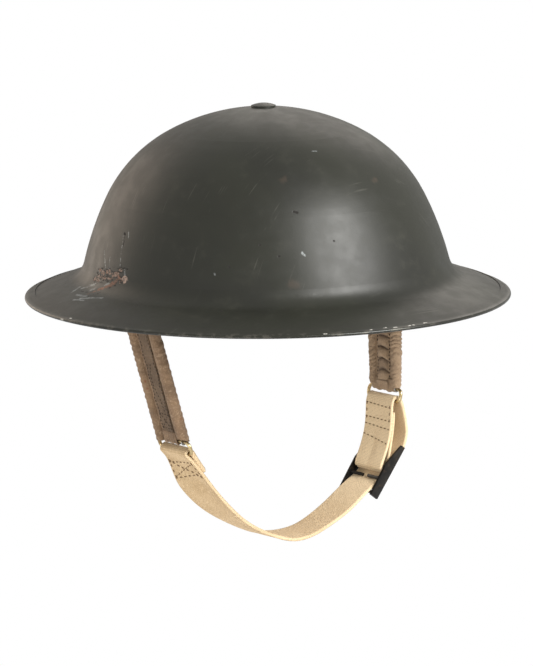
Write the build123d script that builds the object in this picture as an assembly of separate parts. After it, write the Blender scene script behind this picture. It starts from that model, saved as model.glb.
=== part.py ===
from build123d import *
import os
from math import acos, asin, atan2, cos, degrees, hypot, radians, sin, sqrt, tan

# A pressed steel helmet with a wide brim, a fibre liner and a sprung chin strap.
# Millimetres. +Z is up, -Y is the front and +X is the wearer's left. The origin is the
# middle of the flat underside of the crown pad, where the helmet rests on the head.

# Pressed shell: sizes over the rim band, and the arcs of its side-to-side section from
# the shoulder outwards. A slope is the angle in degrees that the section falls by.
rim_width = 290.0
rim_length = 306.0
shell_wall = 1.0
shoulder_radius = 88.2
side_radius = 200.3
neck_radius = 14.1
brim_radius = 264.1
crown_end_slope = 28.3
shoulder_end_slope = 64.2
side_end_slope = 76.3
brim_start_slope = 18.0
brim_end_slope = 24.0

# Rim band: a folded strip over the edge of the shell
band_thickness = 0.5
band_flange = 6.0
band_clearance = 0.05

# Liner: a fibre cross and headband, a leathercloth sweatband and rubber pads. The gaps lie
# between the top of the headband and the wall of the shell
headband_side_gap = 20.0
headband_end_gap = 5.6
sweatband_thickness = 1.5
sweatband_height = 36.0
headband_thickness = 1.2
headband_height = 32.0
headband_rise = 12.0
hem_height = 1.6
cross_thickness = 1.4
cross_arm_width = 34.0
cross_corner_radius = 8.5
cross_lap = 18.0
cross_dome_drop = 12.0
pad_thickness = 12.0
pad_arm_width = 27.0
pad_span = 78.0
pad_corner_radius = 9.0
buffer_width = 24.0
buffer_height = 22.0
buffer_rise = 24.0
buffer_corner_radius = 4.4
buffer_turn = 45.0
liner_gap = 0.1

# Crown bolt
bolt_radius = 2.5
bolt_head_radius = 7.5
bolt_head_height = 2.4
bolt_head_edge = 0.9
bolt_end = 1.0
washer_radius = 7.0
washer_thickness = 0.8
nut_across_flats = 9.0
nut_thickness = 3.0
pocket_clearance = 0.8

# Liner rivets
liner_rivet_radius = 1.5
liner_rivet_head_radius = 2.8
liner_rivet_head_height = 0.9
liner_rivet_spacing = 18.0

# Strap lugs: a flush rivet through the wall, a spacer and a turning clip with an eye
lug_height = 22.0
lug_rivet_radius = 2.0
lug_rivet_flush_radius = 3.2
lug_rivet_head_radius = 3.6
lug_rivet_head_height = 1.4
spacer_length = 5.0
spacer_radius = 4.0
clip_thickness = 1.2
clip_radius = 7.0
clip_eye_drop = 9.0
clip_eye_width = 13.0
running_clearance = 0.08
clip_end_float = 0.2

# Bails, brass rings and the sprung side pieces of the strap
bail_wire_radius = 1.2
bail_inside_width = 28.0
bail_drop = 10.0
stretched_bail_lean = 0.6
gathered_bail_lean = 2.8
ring_wire_radius = 1.1
ring_inside_width = 27.6
ring_drop = 8.0
wire_corner_radius = 3.2
soft_clearance = 0.3
cover_tube_radius = 3.6
cover_tube_bore = 2.5
cover_tube_spacing = 20.8
cover_web_thickness = 2.0
cover_tab_width = 13.0
cover_tab_wall = 1.5
cover_end_gap = 3.4
puff_count = 8
puff_depth = 0.7
spring_radius = 2.2
spring_bore = 1.6
spring_wire_radius = 0.5

# Lower ends of the two side pieces, where the rings hang: the wearer's right side is
# stretched and leans in, the left side is gathered and hangs straight. An inset is
# measured inwards from the axis of the eye above
stretched_ring_inset = 24.6
stretched_ring_drop = 79.0
stretched_ring_lean = 2.8
gathered_ring_inset = 3.0
gathered_ring_drop = 72.2
gathered_ring_lean = 1.6

# Chin webbing and its slide buckle
webbing_width = 25.4
webbing_thickness = 1.8
chin_drop = 152.5
chin_inset = 27.2
buckle_inset = 20.9
buckle_drop = 126.8
buckle_slope = 37.4
buckle_bar_radius = 1.1
buckle_inside_width = 27.0
cheek_thickness = 1.7
cheek_top = 25.5
cheek_bottom = 12.5
cheek_outside = 6.0
cheek_toe = 4.5
cheek_inside = 2.0
cheek_end_depth = 3.2
upper_bar_offset = 8.0
lower_bar_offset = 10.0
split_bar_gap = 5.0
lap_length = 24.0
ring_play = 1.3

# Routes of the webbing as shares: under the chin, of the half span and the drop; outside
# the leaf, of the distance from the ring to the buckle; behind the leaf, of its length
chin_route_shares = [(-0.58, 0.83), (-0.19, 0.97), (0.26, 1.03), (0.70, 0.955)]
outer_layer_shares = [(0.81, 0.288), (0.489, 0.37), (0.224, 0.259)]
leaf_back_shares = [0.70, 0.2]
layer_share = 0.97
lap_spread_share = 3.0
thread_share = 1.18
corner_share = 0.45

# Length that a cutting body runs past what it cuts
overrun = 20.0


def folded_edge_thickness():
    return shell_wall + 2 * (band_thickness + band_clearance)


def section_arcs():
    """Signed radius and end slopes of each arc of the section, crown to edge. The crown
    arc takes the width that the others leave."""
    arcs = [
        (shoulder_radius, crown_end_slope, shoulder_end_slope),
        (side_radius, shoulder_end_slope, side_end_slope),
        (-neck_radius, side_end_slope, brim_start_slope),
        (brim_radius, brim_start_slope, brim_end_slope),
    ]
    reach = sum(r * (sin(radians(b)) - sin(radians(a))) for r, a, b in arcs)
    edge_reach = (rim_width - folded_edge_thickness()) / 2
    crown_radius = (edge_reach - reach) / sin(radians(crown_end_slope))
    return [(crown_radius, 0.0, crown_end_slope)] + arcs


arcs = section_arcs()
section_drop = sum(r * (cos(radians(a)) - cos(radians(b))) for r, a, b in arcs)
shell_height = section_drop + (shell_wall + folded_edge_thickness()) / 2
crown_z = pad_thickness + cross_thickness + shell_wall
rim_z = crown_z - shell_height
length_share = rim_length / rim_width


def skin(depth):
    """Section line at a depth under the outer skin, drawn as tangent arcs."""
    start = (0, crown_z - depth)
    heading = (1, 0)
    line = []
    for radius, slope_in, slope_out in arcs:
        arc = JernArc(start, heading, abs(radius - depth), slope_in - slope_out)
        start = arc @ 1
        heading = arc % 1
        line.append(arc)
    return line


def half_width(height, depth):
    """Side-to-side half width of the skin at a height above the rim plane."""
    drop = crown_z - rim_z - height - depth
    reach = 0.0
    fallen = 0.0
    for radius, slope_in, slope_out in arcs:
        size = radius - depth
        fall = size * (cos(radians(slope_in)) - cos(radians(slope_out)))
        if fallen + fall >= drop:
            slope = acos(cos(radians(slope_in)) - (drop - fallen) / size)
            return reach + size * (sin(slope) - sin(radians(slope_in)))
        fallen += fall
        reach += size * (sin(radians(slope_out)) - sin(radians(slope_in)))
    return reach


def lengthened(solid, share):
    """Stretch a round solid front to back."""
    return scale(solid, by=(1, share, 1))


def revolved(edges):
    """Turn an outline of the XZ plane about the upright axis."""
    return revolve(Plane.XZ * make_face(edges), Axis.Z)


def under_skin(depth):
    """All the space under the skin at a depth, down to below the rim."""
    line = skin(depth)
    edge = line[-1] @ 1
    floor_z = rim_z - overrun
    outside = Line(edge, (edge.X, floor_z))
    floor = Line((edge.X, floor_z), (0, floor_z))
    axis = Line((0, floor_z), line[0] @ 0)
    return lengthened(revolved(line + [outside, floor, axis]), length_share)


def along_x(radius, start, end, height):
    """A round bar along X between two places, at a height above the rim plane."""
    middle = Location(((start + end) / 2, 0, rim_z + height), (0, 90, 0))
    return middle * Cylinder(radius, abs(end - start))


def along_y(radius, length, x, z):
    """A round bar along Y, centred front to back."""
    return Location((x, 0, z), (90, 0, 0)) * Cylinder(radius, length)


def make_shell():
    """Pressed bowl and brim, pierced for the crown bolt and the two lug rivets."""
    outer = skin(0)
    inner = skin(shell_wall)
    edge = Line(outer[-1] @ 1, inner[-1] @ 1)
    axis = Line(outer[0] @ 0, inner[0] @ 0)
    bowl = lengthened(revolved(outer + inner + [edge, axis]), length_share)
    bowl -= Pos(0, 0, crown_z) * Cylinder(bolt_radius + liner_gap, overrun)
    for side in (-1, 1):
        bowl -= lug_rivet_shank(side, running_clearance)
    return bowl


def make_rim_band():
    """Strip folded over the edge, with a flange above and below."""
    edge = skin(0)[-1] @ 1
    end = radians(brim_end_slope)
    centre = (edge.X - brim_radius * sin(end), edge.Y - brim_radius * cos(end))
    turn = degrees(band_flange / brim_radius)
    first = 90 - brim_end_slope + turn

    seat_turn = degrees(band_clearance / brim_radius)

    def outside(depth):
        return CenterArc(centre, brim_radius - depth, first, -turn)

    def inside(depth):
        return CenterArc(centre, brim_radius - depth, first, -turn - seat_turn)

    top_out = outside(-band_clearance - band_thickness)
    top_in = inside(-band_clearance)
    low_in = inside(shell_wall + band_clearance)
    low_out = outside(shell_wall + band_clearance + band_thickness)
    nose_reach = brim_radius - shell_wall / 2
    nose_centre = (centre[0] + nose_reach * sin(end), centre[1] + nose_reach * cos(end))
    nose = CenterArc(nose_centre, folded_edge_thickness() / 2, 90 - brim_end_slope, -180)
    outline = [
        top_out,
        nose,
        low_out,
        Line(low_out @ 0, low_in @ 0),
        low_in,
        Line(low_in @ 1, top_in @ 1),
        top_in,
        Line(top_in @ 0, top_out @ 0),
    ]
    return lengthened(revolved(outline), length_share)


def make_crown_bolt():
    """Low domed head outside, and a shank down through the shell and the cross."""
    top = crown_z + bolt_head_height
    rim = crown_z + bolt_head_edge
    seat = crown_z - bolt_head_edge
    dome_radius = (bolt_head_radius**2 + (top - rim) ** 2) / (2 * (top - rim))
    dome = JernArc((0, top), (1, 0), dome_radius, -degrees(asin(bolt_head_radius / dome_radius)))
    outline = [
        dome,
        Line(dome @ 1, (bolt_head_radius, seat)),
        Line((bolt_head_radius, seat), (0, seat)),
        Line((0, seat), (0, top)),
    ]
    head = revolved(outline) - under_skin(0)
    length = rim - bolt_shank_end()
    shank = Pos(0, 0, rim - length / 2) * Cylinder(bolt_radius, length)
    return head + shank


def washer_top():
    """The flat washer touches the curved cross along its own edge."""
    side, height = cross_axes(cross_thickness)
    drop = height * (1 - sqrt(1 - (washer_radius / side) ** 2))
    return cross_middle() + height - drop


def bolt_shank_end():
    return washer_top() - washer_thickness - nut_thickness - bolt_end


def make_crown_washer():
    """Flat washer under the fibre cross."""
    ring = Circle(washer_radius) - Circle(bolt_radius + liner_gap)
    return Pos(0, 0, washer_top() - washer_thickness) * extrude(ring, washer_thickness)


def make_crown_nut():
    """Hexagon nut that holds the liner to the shell."""
    hexagon = RegularPolygon(nut_across_flats / 2, 6, major_radius=False)
    blank = hexagon - Circle(bolt_radius + liner_gap / 2)
    base = washer_top() - washer_thickness - nut_thickness
    return Pos(0, 0, base) * extrude(blank, nut_thickness)


def headband_top():
    return headband_rise + headband_height


def band_half_width():
    return half_width(headband_top(), shell_wall) - headband_side_gap


def band_half_length():
    return half_width(headband_top(), shell_wall) * length_share - headband_end_gap


def oval_ring(inset, thickness, base, height):
    """Upright oval wall whose outside lies an inset inside the headband's outside."""
    outer = Ellipse(band_half_width() - inset, band_half_length() - inset)
    bore = Ellipse(
        band_half_width() - inset - thickness, band_half_length() - inset - thickness
    )
    return Pos(0, 0, rim_z + base) * extrude(outer - bore, height)


def make_headband():
    """Fibre band that carries the cross, drilled for its rivets."""
    band = oval_ring(0, headband_thickness, headband_rise, headband_height)
    for place in rivet_places():
        band -= place * Cylinder(liner_rivet_radius + liner_gap / 2, overrun)
    return band


def make_sweatband():
    """Leathercloth lining, hemmed under the edge of the headband."""
    inset = headband_thickness + liner_gap
    base = headband_rise - hem_height
    lining = oval_ring(inset, sweatband_thickness, base, sweatband_height)
    hem = oval_ring(0, inset + sweatband_thickness, base, hem_height - liner_gap)
    return lining + hem


def cross_middle():
    """Height of the middle of the cross's ellipse, below the top of the headband."""
    return rim_z + headband_top() - cross_dome_drop


def cross_axes(depth):
    """Half width and height of the cross's ellipse at a depth under its outer face. The
    inner face passes just outside the top of the headband."""
    height = crown_z - shell_wall - liner_gap - cross_thickness - cross_middle()
    side = (band_half_width() + liner_gap) / sqrt(1 - (cross_dome_drop / height) ** 2)
    grow = cross_thickness - depth
    return side + grow, height + grow


def cross_skin(depth):
    """Section line of the fibre cross: a quarter of an ellipse and an upright lap."""
    side, height = cross_axes(depth)
    crown = EllipticalCenterArc((0, cross_middle()), side, height, 90, arc_size=-90)
    foot = crown @ 1
    return [crown, Line(foot, (foot.X, foot.Y - cross_lap + cross_dome_drop))]


def cross_oval():
    """Stretch of the cross front to back, the same as the headband's."""
    return (band_half_length() + liner_gap) / (band_half_width() + liner_gap)


def cross_space(depth):
    """Space under the cross at a depth: an oval dome with upright sides."""
    line = cross_skin(depth)
    low = line[-1] @ 1
    floor = Line(low, (0, low.Y))
    axis = Line((0, low.Y), line[0] @ 0)
    return lengthened(revolved(line + [floor, axis]), cross_oval())


def cross_wall():
    """Wall of the oval dome that the cross is cut from."""
    outside = cross_skin(0)
    inside = cross_skin(cross_thickness)
    top = Line(outside[0] @ 0, inside[0] @ 0)
    foot = Line(outside[-1] @ 1, inside[-1] @ 1)
    return lengthened(revolved(outside + inside + [top, foot]), cross_oval())


def cross_prism(arm_width, half_span, corner, base):
    """Upright prism of two crossing arms with rounded ends."""
    across = RectangleRounded(2 * half_span, arm_width, corner)
    along = RectangleRounded(arm_width, 2 * half_span, corner)
    return Pos(0, 0, base) * extrude(across + along, crown_z - base)


def make_liner_cross():
    """Fibre cross under the crown, its four arms lapped down outside the headband."""
    reach = band_half_length() + overrun
    arms = cross_prism(cross_arm_width, reach, cross_corner_radius, rim_z)
    cross = arms & cross_wall()
    cross -= Pos(0, 0, crown_z) * Cylinder(bolt_radius + liner_gap, overrun)
    for place in rivet_places():
        cross -= place * Cylinder(liner_rivet_radius + liner_gap / 2, overrun)
    return cross


def rivet_places():
    """Two rivets at the end of each arm, square to the oval of the headband."""
    a = band_half_width()
    b = band_half_length()
    height = rim_z + headband_top() - cross_lap / 2
    half = liner_rivet_spacing / 2
    places = []
    for side in (-1, 1):
        for step in (-half, half):
            x = side * a * sqrt(1 - (step / b) ** 2)
            y = side * b * sqrt(1 - (step / a) ** 2)
            places.append((x, step))
            places.append((step, y))
    facing = []
    for x, y in places:
        turn = degrees(atan2(y / b**2, x / a**2))
        facing.append(Location((x, y, height)) * Rotation(0, 0, turn) * Rotation(0, 90, 0))
    return facing


def make_liner_rivets():
    """Eight rivets, domed outside and flush inside."""
    through = headband_thickness
    side, height = cross_axes(0)
    seat = (side - band_half_width()) * cross_oval() + liner_gap
    rivets = []
    for place in rivet_places():
        shank = Pos(0, 0, (seat - through) / 2) * Cylinder(liner_rivet_radius, seat + through)
        head = Pos(0, 0, seat + liner_rivet_head_height / 2) * Cone(
            liner_rivet_head_radius, liner_rivet_radius, liner_rivet_head_height
        )
        rivets.append(place * (shank + head))
    return Compound(children=[rivet.solid() for rivet in rivets])


def make_crown_pad():
    """Rubber cross under the crown, flat below and fitted to the fibre cross above."""
    prism = cross_prism(pad_arm_width, pad_span / 2, pad_corner_radius, 0)
    pad = prism & cross_space(cross_thickness + liner_gap)
    pocket_depth = pad_thickness - bolt_shank_end() + pocket_clearance
    pocket = Cylinder(
        washer_radius + pocket_clearance,
        overrun,
        align=(Align.CENTER, Align.CENTER, Align.MIN),
    )
    return pad - Pos(0, 0, pad_thickness - pocket_depth) * pocket


def make_rubber_buffers():
    """Four rubber blocks that hold the headband off the wall of the shell."""
    space = under_skin(shell_wall + soft_clearance)
    core = Pos(0, 0, rim_z) * extrude(
        Ellipse(band_half_width() + liner_gap, band_half_length() + liner_gap), crown_z - rim_z
    )
    middle = rim_z + buffer_rise + buffer_height / 2
    blocks = []
    for turn in (buffer_turn, 180 - buffer_turn, 180 + buffer_turn, -buffer_turn):
        bar = Pos(rim_width / 4, 0, 0) * Box(rim_width / 2, buffer_width, buffer_height)
        bar = fillet(bar.edges().filter_by(Axis.X), buffer_corner_radius)
        block = (Pos(0, 0, middle) * Rotation(0, 0, turn) * bar & space) - core
        blocks.append(block.solid())
    return Compound(children=blocks)


def clip_outside():
    """Place of the clip's outer face, one spacer inside the wall."""
    return half_width(lug_height, shell_wall) - spacer_length


def eye_reach():
    """Place of the eye's axis in the clip."""
    return clip_outside() - bail_wire_radius - running_clearance - clip_thickness


def lug_rivet_shank(side, clearance):
    """Shank with a flush outer head that follows the wall."""
    wall_in = half_width(lug_height, shell_wall)
    wall_out = half_width(lug_height, 0)
    inside = clip_outside() - clip_thickness - clip_end_float
    radius = lug_rivet_radius + clearance
    shank = along_x(radius, side * inside, side * (wall_out + overrun), lug_height)
    middle = Location((side * (wall_in + wall_out) / 2, 0, rim_z + lug_height), (0, side * 90, 0))
    flush = Cone(radius, lug_rivet_flush_radius + clearance, wall_out - wall_in)
    return shank + middle * flush


def make_lug_rivets():
    """Two rivets, flush outside, with a low dome inside the clip."""
    outside = under_skin(0)
    rivets = []
    for side in (-1, 1):
        head_face = clip_outside() - clip_thickness - clip_end_float
        middle = head_face - lug_rivet_head_height / 2
        head = Location((side * middle, 0, rim_z + lug_height), (0, -side * 90, 0)) * Cone(
            lug_rivet_head_radius, lug_rivet_radius, lug_rivet_head_height
        )
        rivet = (lug_rivet_shank(side, 0) & outside) + head
        rivets.append(rivet.solid())
    return Compound(children=rivets)


def make_lug_spacers():
    """Collars between the clip and the sloping wall."""
    space = under_skin(shell_wall)
    collars = []
    for side in (-1, 1):
        reach = half_width(lug_height, 0)
        collar = along_x(spacer_radius, side * clip_outside(), side * reach, lug_height)
        collar = (collar & space) - lug_rivet_shank(side, running_clearance)
        collars.append(collar.solid())
    return Compound(children=collars)


def make_lug_clip(side):
    """Turning plate on the rivet, with its lower lip curled to an eye for the bail."""
    outside = clip_outside()
    eye_z = lug_height - clip_eye_drop
    tongue = Pos(0, (lug_height + eye_z) / 2) * Rectangle(clip_eye_width, clip_eye_drop)
    plate = Pos(0, lug_height) * Circle(clip_radius) + tongue
    plate -= Pos(0, lug_height) * Circle(lug_rivet_radius + running_clearance)
    placed = Plane((outside - clip_thickness, 0, rim_z), x_dir=(0, 1, 0), z_dir=(1, 0, 0)) * plate
    bore = bail_wire_radius + running_clearance
    curl = along_y(bore + clip_thickness, clip_eye_width, eye_reach(), rim_z + eye_z)
    clip = extrude(placed, clip_thickness) + curl
    clip -= along_y(bore, clip_eye_width + overrun, eye_reach(), rim_z + eye_z)
    return clip if side > 0 else mirror(clip, Plane.YZ)


def wire_loop(radius, inside_width, top, bottom):
    """Closed rectangular loop of round wire between two parallel bars along Y."""
    width = inside_width + 2 * radius
    depth = hypot(bottom[0] - top[0], bottom[1] - top[1])
    centre = ((top[0] + bottom[0]) / 2, 0, (top[1] + bottom[1]) / 2)
    upright = Vector(top[0] - bottom[0], 0, top[1] - bottom[1])
    plane = Plane(centre, x_dir=(0, 1, 0), z_dir=Vector(0, 1, 0).cross(upright))
    path = (plane * RectangleRounded(width, depth, wire_corner_radius)).wire()
    start = Plane(path @ 0, z_dir=path % 0)
    return sweep(start * Circle(radius), path)


def bail_bars(side):
    """Upper and lower bar of a bail."""
    lean = stretched_bail_lean if side < 0 else gathered_bail_lean
    top = (side * eye_reach(), rim_z + lug_height - clip_eye_drop)
    bottom = (top[0] - side * lean, top[1] - sqrt(bail_drop**2 - lean**2))
    return top, bottom


def ring_bars(side):
    """Upper and lower bar of a ring: the stretched side is the wearer's right."""
    if side < 0:
        inset, drop, lean = stretched_ring_inset, stretched_ring_drop, stretched_ring_lean
    else:
        inset, drop, lean = gathered_ring_inset, gathered_ring_drop, gathered_ring_lean
    top = (side * (eye_reach() - inset), rim_z - drop)
    bottom = (top[0] - side * lean, top[1] - sqrt(ring_drop**2 - lean**2))
    return top, bottom


def side_plane(side):
    """Plane at the bail's lower bar: local x is front to back, local z runs down."""
    top = bail_bars(side)[1]
    end = ring_bars(side)[0]
    down = Vector(end[0] - top[0], 0, end[1] - top[1])
    return Plane((top[0], 0, top[1]), x_dir=(0, 1, 0), z_dir=down), down.length


def puffed_line(crest, length):
    """Line of equal puffs down a gathered cover, as far out as the crest."""
    pitch = length / puff_count
    valley = crest - puff_depth
    line = []
    for number in range(puff_count):
        start = number * pitch
        line.append(
            ThreePointArc((valley, start), (crest, start + pitch / 2), (valley, start + pitch))
        )
    return line


def gathered_body(length):
    """Two tubes and the web between them, drawn into puffs by the lines of stitching."""
    line = puffed_line(cover_tube_radius, length)
    ends = [Line((0, 0), line[0] @ 0), Line(line[-1] @ 1, (0, length)), Line((0, length), (0, 0))]
    tube = revolved(line + ends)
    right = puffed_line(cover_web_thickness / 2 + puff_depth, length)
    left = [mirror(arc, Plane.YZ) for arc in right]
    ends = [Line(left[0] @ 0, right[0] @ 0), Line(left[-1] @ 1, right[-1] @ 1)]
    web = extrude(Plane.YZ * make_face(right + left + ends), cover_tube_spacing / 2, both=True)
    half = cover_tube_spacing / 2
    return web + Pos(-half, 0, 0) * tube + Pos(half, 0, 0) * tube


def stretched_body(length):
    """Two tubes and the web between them, drawn smooth by the pull of the strap."""
    outline = Rectangle(cover_tube_spacing, cover_web_thickness)
    for place in (-cover_tube_spacing / 2, cover_tube_spacing / 2):
        outline += Pos(place, 0) * Circle(cover_tube_radius)
    return extrude(outline, length)


def make_side_cover(side):
    """Cloth cover: two open tubes for the springs, a sewn web and a tab at each end."""
    plane, length = side_plane(side)
    body_length = length - 2 * cover_end_gap
    body = stretched_body(body_length) if side < 0 else gathered_body(body_length)
    cover = Pos(0, 0, cover_end_gap) * body
    for place in (-cover_tube_spacing / 2, cover_tube_spacing / 2):
        cover -= Pos(place, 0, length / 2) * Cylinder(cover_tube_bore, length)
    cover += Pos(0, 0, length / 2) * Box(cover_tab_width, cover_web_thickness, length)
    tab_radius = cover_tab_wall + bail_wire_radius + soft_clearance
    hole = bail_wire_radius + soft_clearance
    for end in (0, length):
        cover += Location((0, 0, end), (0, 90, 0)) * Cylinder(tab_radius, cover_tab_width)
    for end in (0, length):
        cover -= Location((0, 0, end), (0, 90, 0)) * Cylinder(hole, cover_tab_width + overrun)
    return plane * cover


def make_side_springs(side):
    """Two close-wound springs, hooked round the bail above and the ring below."""
    plane, length = side_plane(side)
    springs = []
    for place in (-cover_tube_spacing / 2, cover_tube_spacing / 2):
        coil_end = cover_end_gap + spring_radius
        coil_length = length - 2 * coil_end
        coil = Circle(spring_radius) - Circle(spring_bore)
        spring = Pos(0, 0, coil_end) * extrude(coil, coil_length)
        for end, bar_radius in ((0, bail_wire_radius), (length, ring_wire_radius)):
            inward = 1 if end == 0 else -1
            eye = bar_radius + running_clearance + spring_wire_radius
            cap = end + inward * (coil_end + spring_wire_radius)
            spring += Pos(0, 0, cap) * Cylinder(spring_radius, 2 * spring_wire_radius)
            leg_length = coil_end - eye
            leg = Pos(0, 0, end + inward * (eye + leg_length / 2))
            spring += leg * Cylinder(spring_wire_radius, leg_length)
            spring += Location((0, 0, end), (0, 90, 0)) * Torus(eye, spring_wire_radius)
        springs.append((plane * Pos(place, 0, 0) * spring).solid())
    return Compound(children=springs)


def smooth_route(points):
    """Flat path through a list of points, its corners rounded as far as the runs allow."""
    radii = []
    for before, here, after in zip(points, points[1:], points[2:]):
        arriving = Vector(*here) - Vector(*before)
        leaving = Vector(*after) - Vector(*here)
        half_turn = radians(arriving.get_angle(leaving)) / 2
        radii.append(corner_share * min(arriving.length, leaving.length) / tan(half_turn))
    return FilletPolyline(*points, radius=radii).edges()


def strip(points, thickness, width):
    """A band of webbing along a route of the XZ plane, as wide as it says along Y."""
    sides = {-1: [], 1: []}
    for edge in smooth_route(points):
        for side, line in sides.items():
            beside = []
            for share in (0, 0.5, 1):
                heading = edge % share
                offset = Vector(-heading.Y, heading.X) * (side * thickness / 2)
                beside.append(edge @ share + offset)
            if edge.geom_type == GeomType.LINE:
                line.append(Line(beside[0], beside[2]))
            else:
                line.append(ThreePointArc(*beside))
    ends = [Line(sides[-1][end] @ place, sides[1][end] @ place) for end, place in ((0, 0), (-1, 1))]
    section = make_face(sides[-1] + sides[1] + ends)
    return extrude(Plane.XZ * section, width / 2, both=True)


def buckle_point(down, out):
    """A place in the buckle, down along it and out from its split bar."""
    slope = radians(buckle_slope)
    x = eye_reach() - buckle_inset - down * sin(slope) + out * cos(slope)
    z = rim_z - buckle_drop - down * cos(slope) - out * sin(slope)
    return (x, z)


def make_webbing():
    """Chin webbing: sewn back on itself round the stretched side's ring, under the chin,
    through the slide buckle, over the other ring and down to a leaf that is sewn round
    the buckle's upper bar."""
    layer = webbing_thickness * layer_share
    wrap = ring_wire_radius + soft_clearance + webbing_thickness / 2
    far = Vector(*ring_bars(-1)[1])
    half_span = eye_reach() - chin_inset
    chin = [(x * half_span, rim_z - z * chin_drop) for x, z in chin_route_shares]
    along = (Vector(*chin[0]) - far).normalized()

    def at_far(down, out):
        return (far.X + along.X * down + along.Y * out, far.Y + along.Y * down - along.X * out)

    spread = wrap * lap_spread_share
    lap = [at_far(lap_length, -layer / 2), at_far(spread, -layer / 2), at_far(0, -wrap)]
    far_loop = [at_far(0, -wrap), at_far(-wrap, -wrap), at_far(-wrap, wrap), at_far(0, wrap)]
    far_loop.append(at_far(spread, layer / 2))

    thread = (buckle_bar_radius + soft_clearance + webbing_thickness / 2) * thread_share
    through = [buckle_point(lower_bar_offset, -thread), buckle_point(0, thread)]
    through.append(buckle_point(-upper_bar_offset, thread + layer))

    near = Vector(*ring_bars(1)[1])
    bar = Vector(*buckle_point(-upper_bar_offset, 0))
    down = bar - near
    outer = []
    for fallen, bulge in outer_layer_shares:
        outer.append((near.X + fallen * down.X - bulge * down.Y, near.Y + fallen * down.Y + bulge * down.X))
    slack = wrap + ring_play
    top = near.Y + slack - ring_play / 2
    over_ring = [(near.X + slack, top), (near.X - slack, top)]
    foot = -upper_bar_offset + thread
    leaf_foot = buckle_point(foot, -thread)
    fold = buckle_point(foot, 0)
    main = far_loop + chin + through + outer + over_ring + [leaf_foot, fold]

    leaf = Vector(*leaf_foot) - Vector(*over_ring[1])
    outward = Vector(-leaf.Y, leaf.X).normalized() * layer

    def behind_leaf(share):
        place = Vector(*over_ring[1]) + leaf * share + outward
        return (place.X, place.Y)

    back = [fold, buckle_point(foot, thread), buckle_point(foot - 2 * thread, thread)]
    back += [behind_leaf(share) for share in leaf_back_shares]
    webbing = strip(main, webbing_thickness, webbing_width)
    webbing += strip(lap, webbing_thickness, webbing_width)
    webbing += strip(back, webbing_thickness, webbing_width)
    return webbing


def make_buckle():
    """Slide buckle: two long cheeks, an upper bar, a split bar and a lower bar."""
    slope = radians(buckle_slope)
    half = buckle_inside_width / 2 + cheek_thickness
    cheek = [
        (-cheek_top, cheek_outside),
        (cheek_bottom, cheek_toe),
        (cheek_bottom, -cheek_inside),
        (-upper_bar_offset - cheek_inside, -cheek_inside),
        (-cheek_top, cheek_outside - cheek_end_depth),
    ]
    outline = Polyline(*[buckle_point(*place) for place in cheek], close=True)
    plate = make_face(outline.edges())
    blank = extrude(Plane.XZ * plate, half, both=True)
    x, z = buckle_point(0, 0)
    room = 2 * (cheek_top + overrun)
    buckle = blank - Pos(x, 0, z) * Box(room, buckle_inside_width, room)
    for offset in (-upper_bar_offset, lower_bar_offset):
        buckle += along_y(buckle_bar_radius, 2 * half, *buckle_point(offset, 0))
    split = along_y(buckle_bar_radius, 2 * half, x, z)
    split -= Pos(x, 0, z) * Box(overrun, split_bar_gap, overrun)
    return buckle + split


nodes = {
    "shell": make_shell,
    "rim_band": make_rim_band,
    "crown_bolt": make_crown_bolt,
    "crown_washer": make_crown_washer,
    "crown_nut": make_crown_nut,
    "liner_cross": make_liner_cross,
    "headband": make_headband,
    "sweatband": make_sweatband,
    "crown_pad": make_crown_pad,
    "rubber_buffers": make_rubber_buffers,
    "liner_rivets": make_liner_rivets,
    "lug_rivets": make_lug_rivets,
    "lug_spacers": make_lug_spacers,
    "left_lug_clip": lambda: make_lug_clip(1),
    "right_lug_clip": lambda: make_lug_clip(-1),
    "left_bail": lambda: wire_loop(bail_wire_radius, bail_inside_width, *bail_bars(1)),
    "right_bail": lambda: wire_loop(bail_wire_radius, bail_inside_width, *bail_bars(-1)),
    "left_side_cover": lambda: make_side_cover(1),
    "right_side_cover": lambda: make_side_cover(-1),
    "left_springs": lambda: make_side_springs(1),
    "right_springs": lambda: make_side_springs(-1),
    "left_ring": lambda: wire_loop(ring_wire_radius, ring_inside_width, *ring_bars(1)),
    "right_ring": lambda: wire_loop(ring_wire_radius, ring_inside_width, *ring_bars(-1)),
    "chin_webbing": make_webbing,
    "slide_buckle": make_buckle,
}

os.makedirs("parts", exist_ok=True)
for name, build in nodes.items():
    export_step(build(), f"parts/{name}.step")
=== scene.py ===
from math import cos, pi, radians, sin

import bmesh
import bpy
import numpy as np
from mathutils import Matrix, Vector


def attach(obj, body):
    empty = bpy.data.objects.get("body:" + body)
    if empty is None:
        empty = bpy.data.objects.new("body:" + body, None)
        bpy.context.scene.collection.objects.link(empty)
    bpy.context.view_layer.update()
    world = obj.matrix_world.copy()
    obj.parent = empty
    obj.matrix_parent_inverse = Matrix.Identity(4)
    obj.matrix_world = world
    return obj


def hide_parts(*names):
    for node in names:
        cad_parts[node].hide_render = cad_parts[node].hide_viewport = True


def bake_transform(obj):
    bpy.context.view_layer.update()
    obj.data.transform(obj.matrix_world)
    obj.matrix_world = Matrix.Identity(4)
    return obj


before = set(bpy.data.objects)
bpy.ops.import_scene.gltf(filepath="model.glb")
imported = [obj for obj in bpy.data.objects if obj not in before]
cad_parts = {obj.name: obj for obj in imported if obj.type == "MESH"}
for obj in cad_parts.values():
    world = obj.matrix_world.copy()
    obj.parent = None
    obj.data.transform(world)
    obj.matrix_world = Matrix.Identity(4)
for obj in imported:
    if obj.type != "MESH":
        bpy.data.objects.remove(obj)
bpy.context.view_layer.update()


# The camera stands where the photographer did: to the right front of the helmet, a
# little above the brim, with a long lens. The frame is 533 by 666.
rim_z = -0.1004910
camera_azimuth = radians(-40.0)
camera_elevation = radians(8.3)
camera_roll = radians(1.06)
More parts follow.
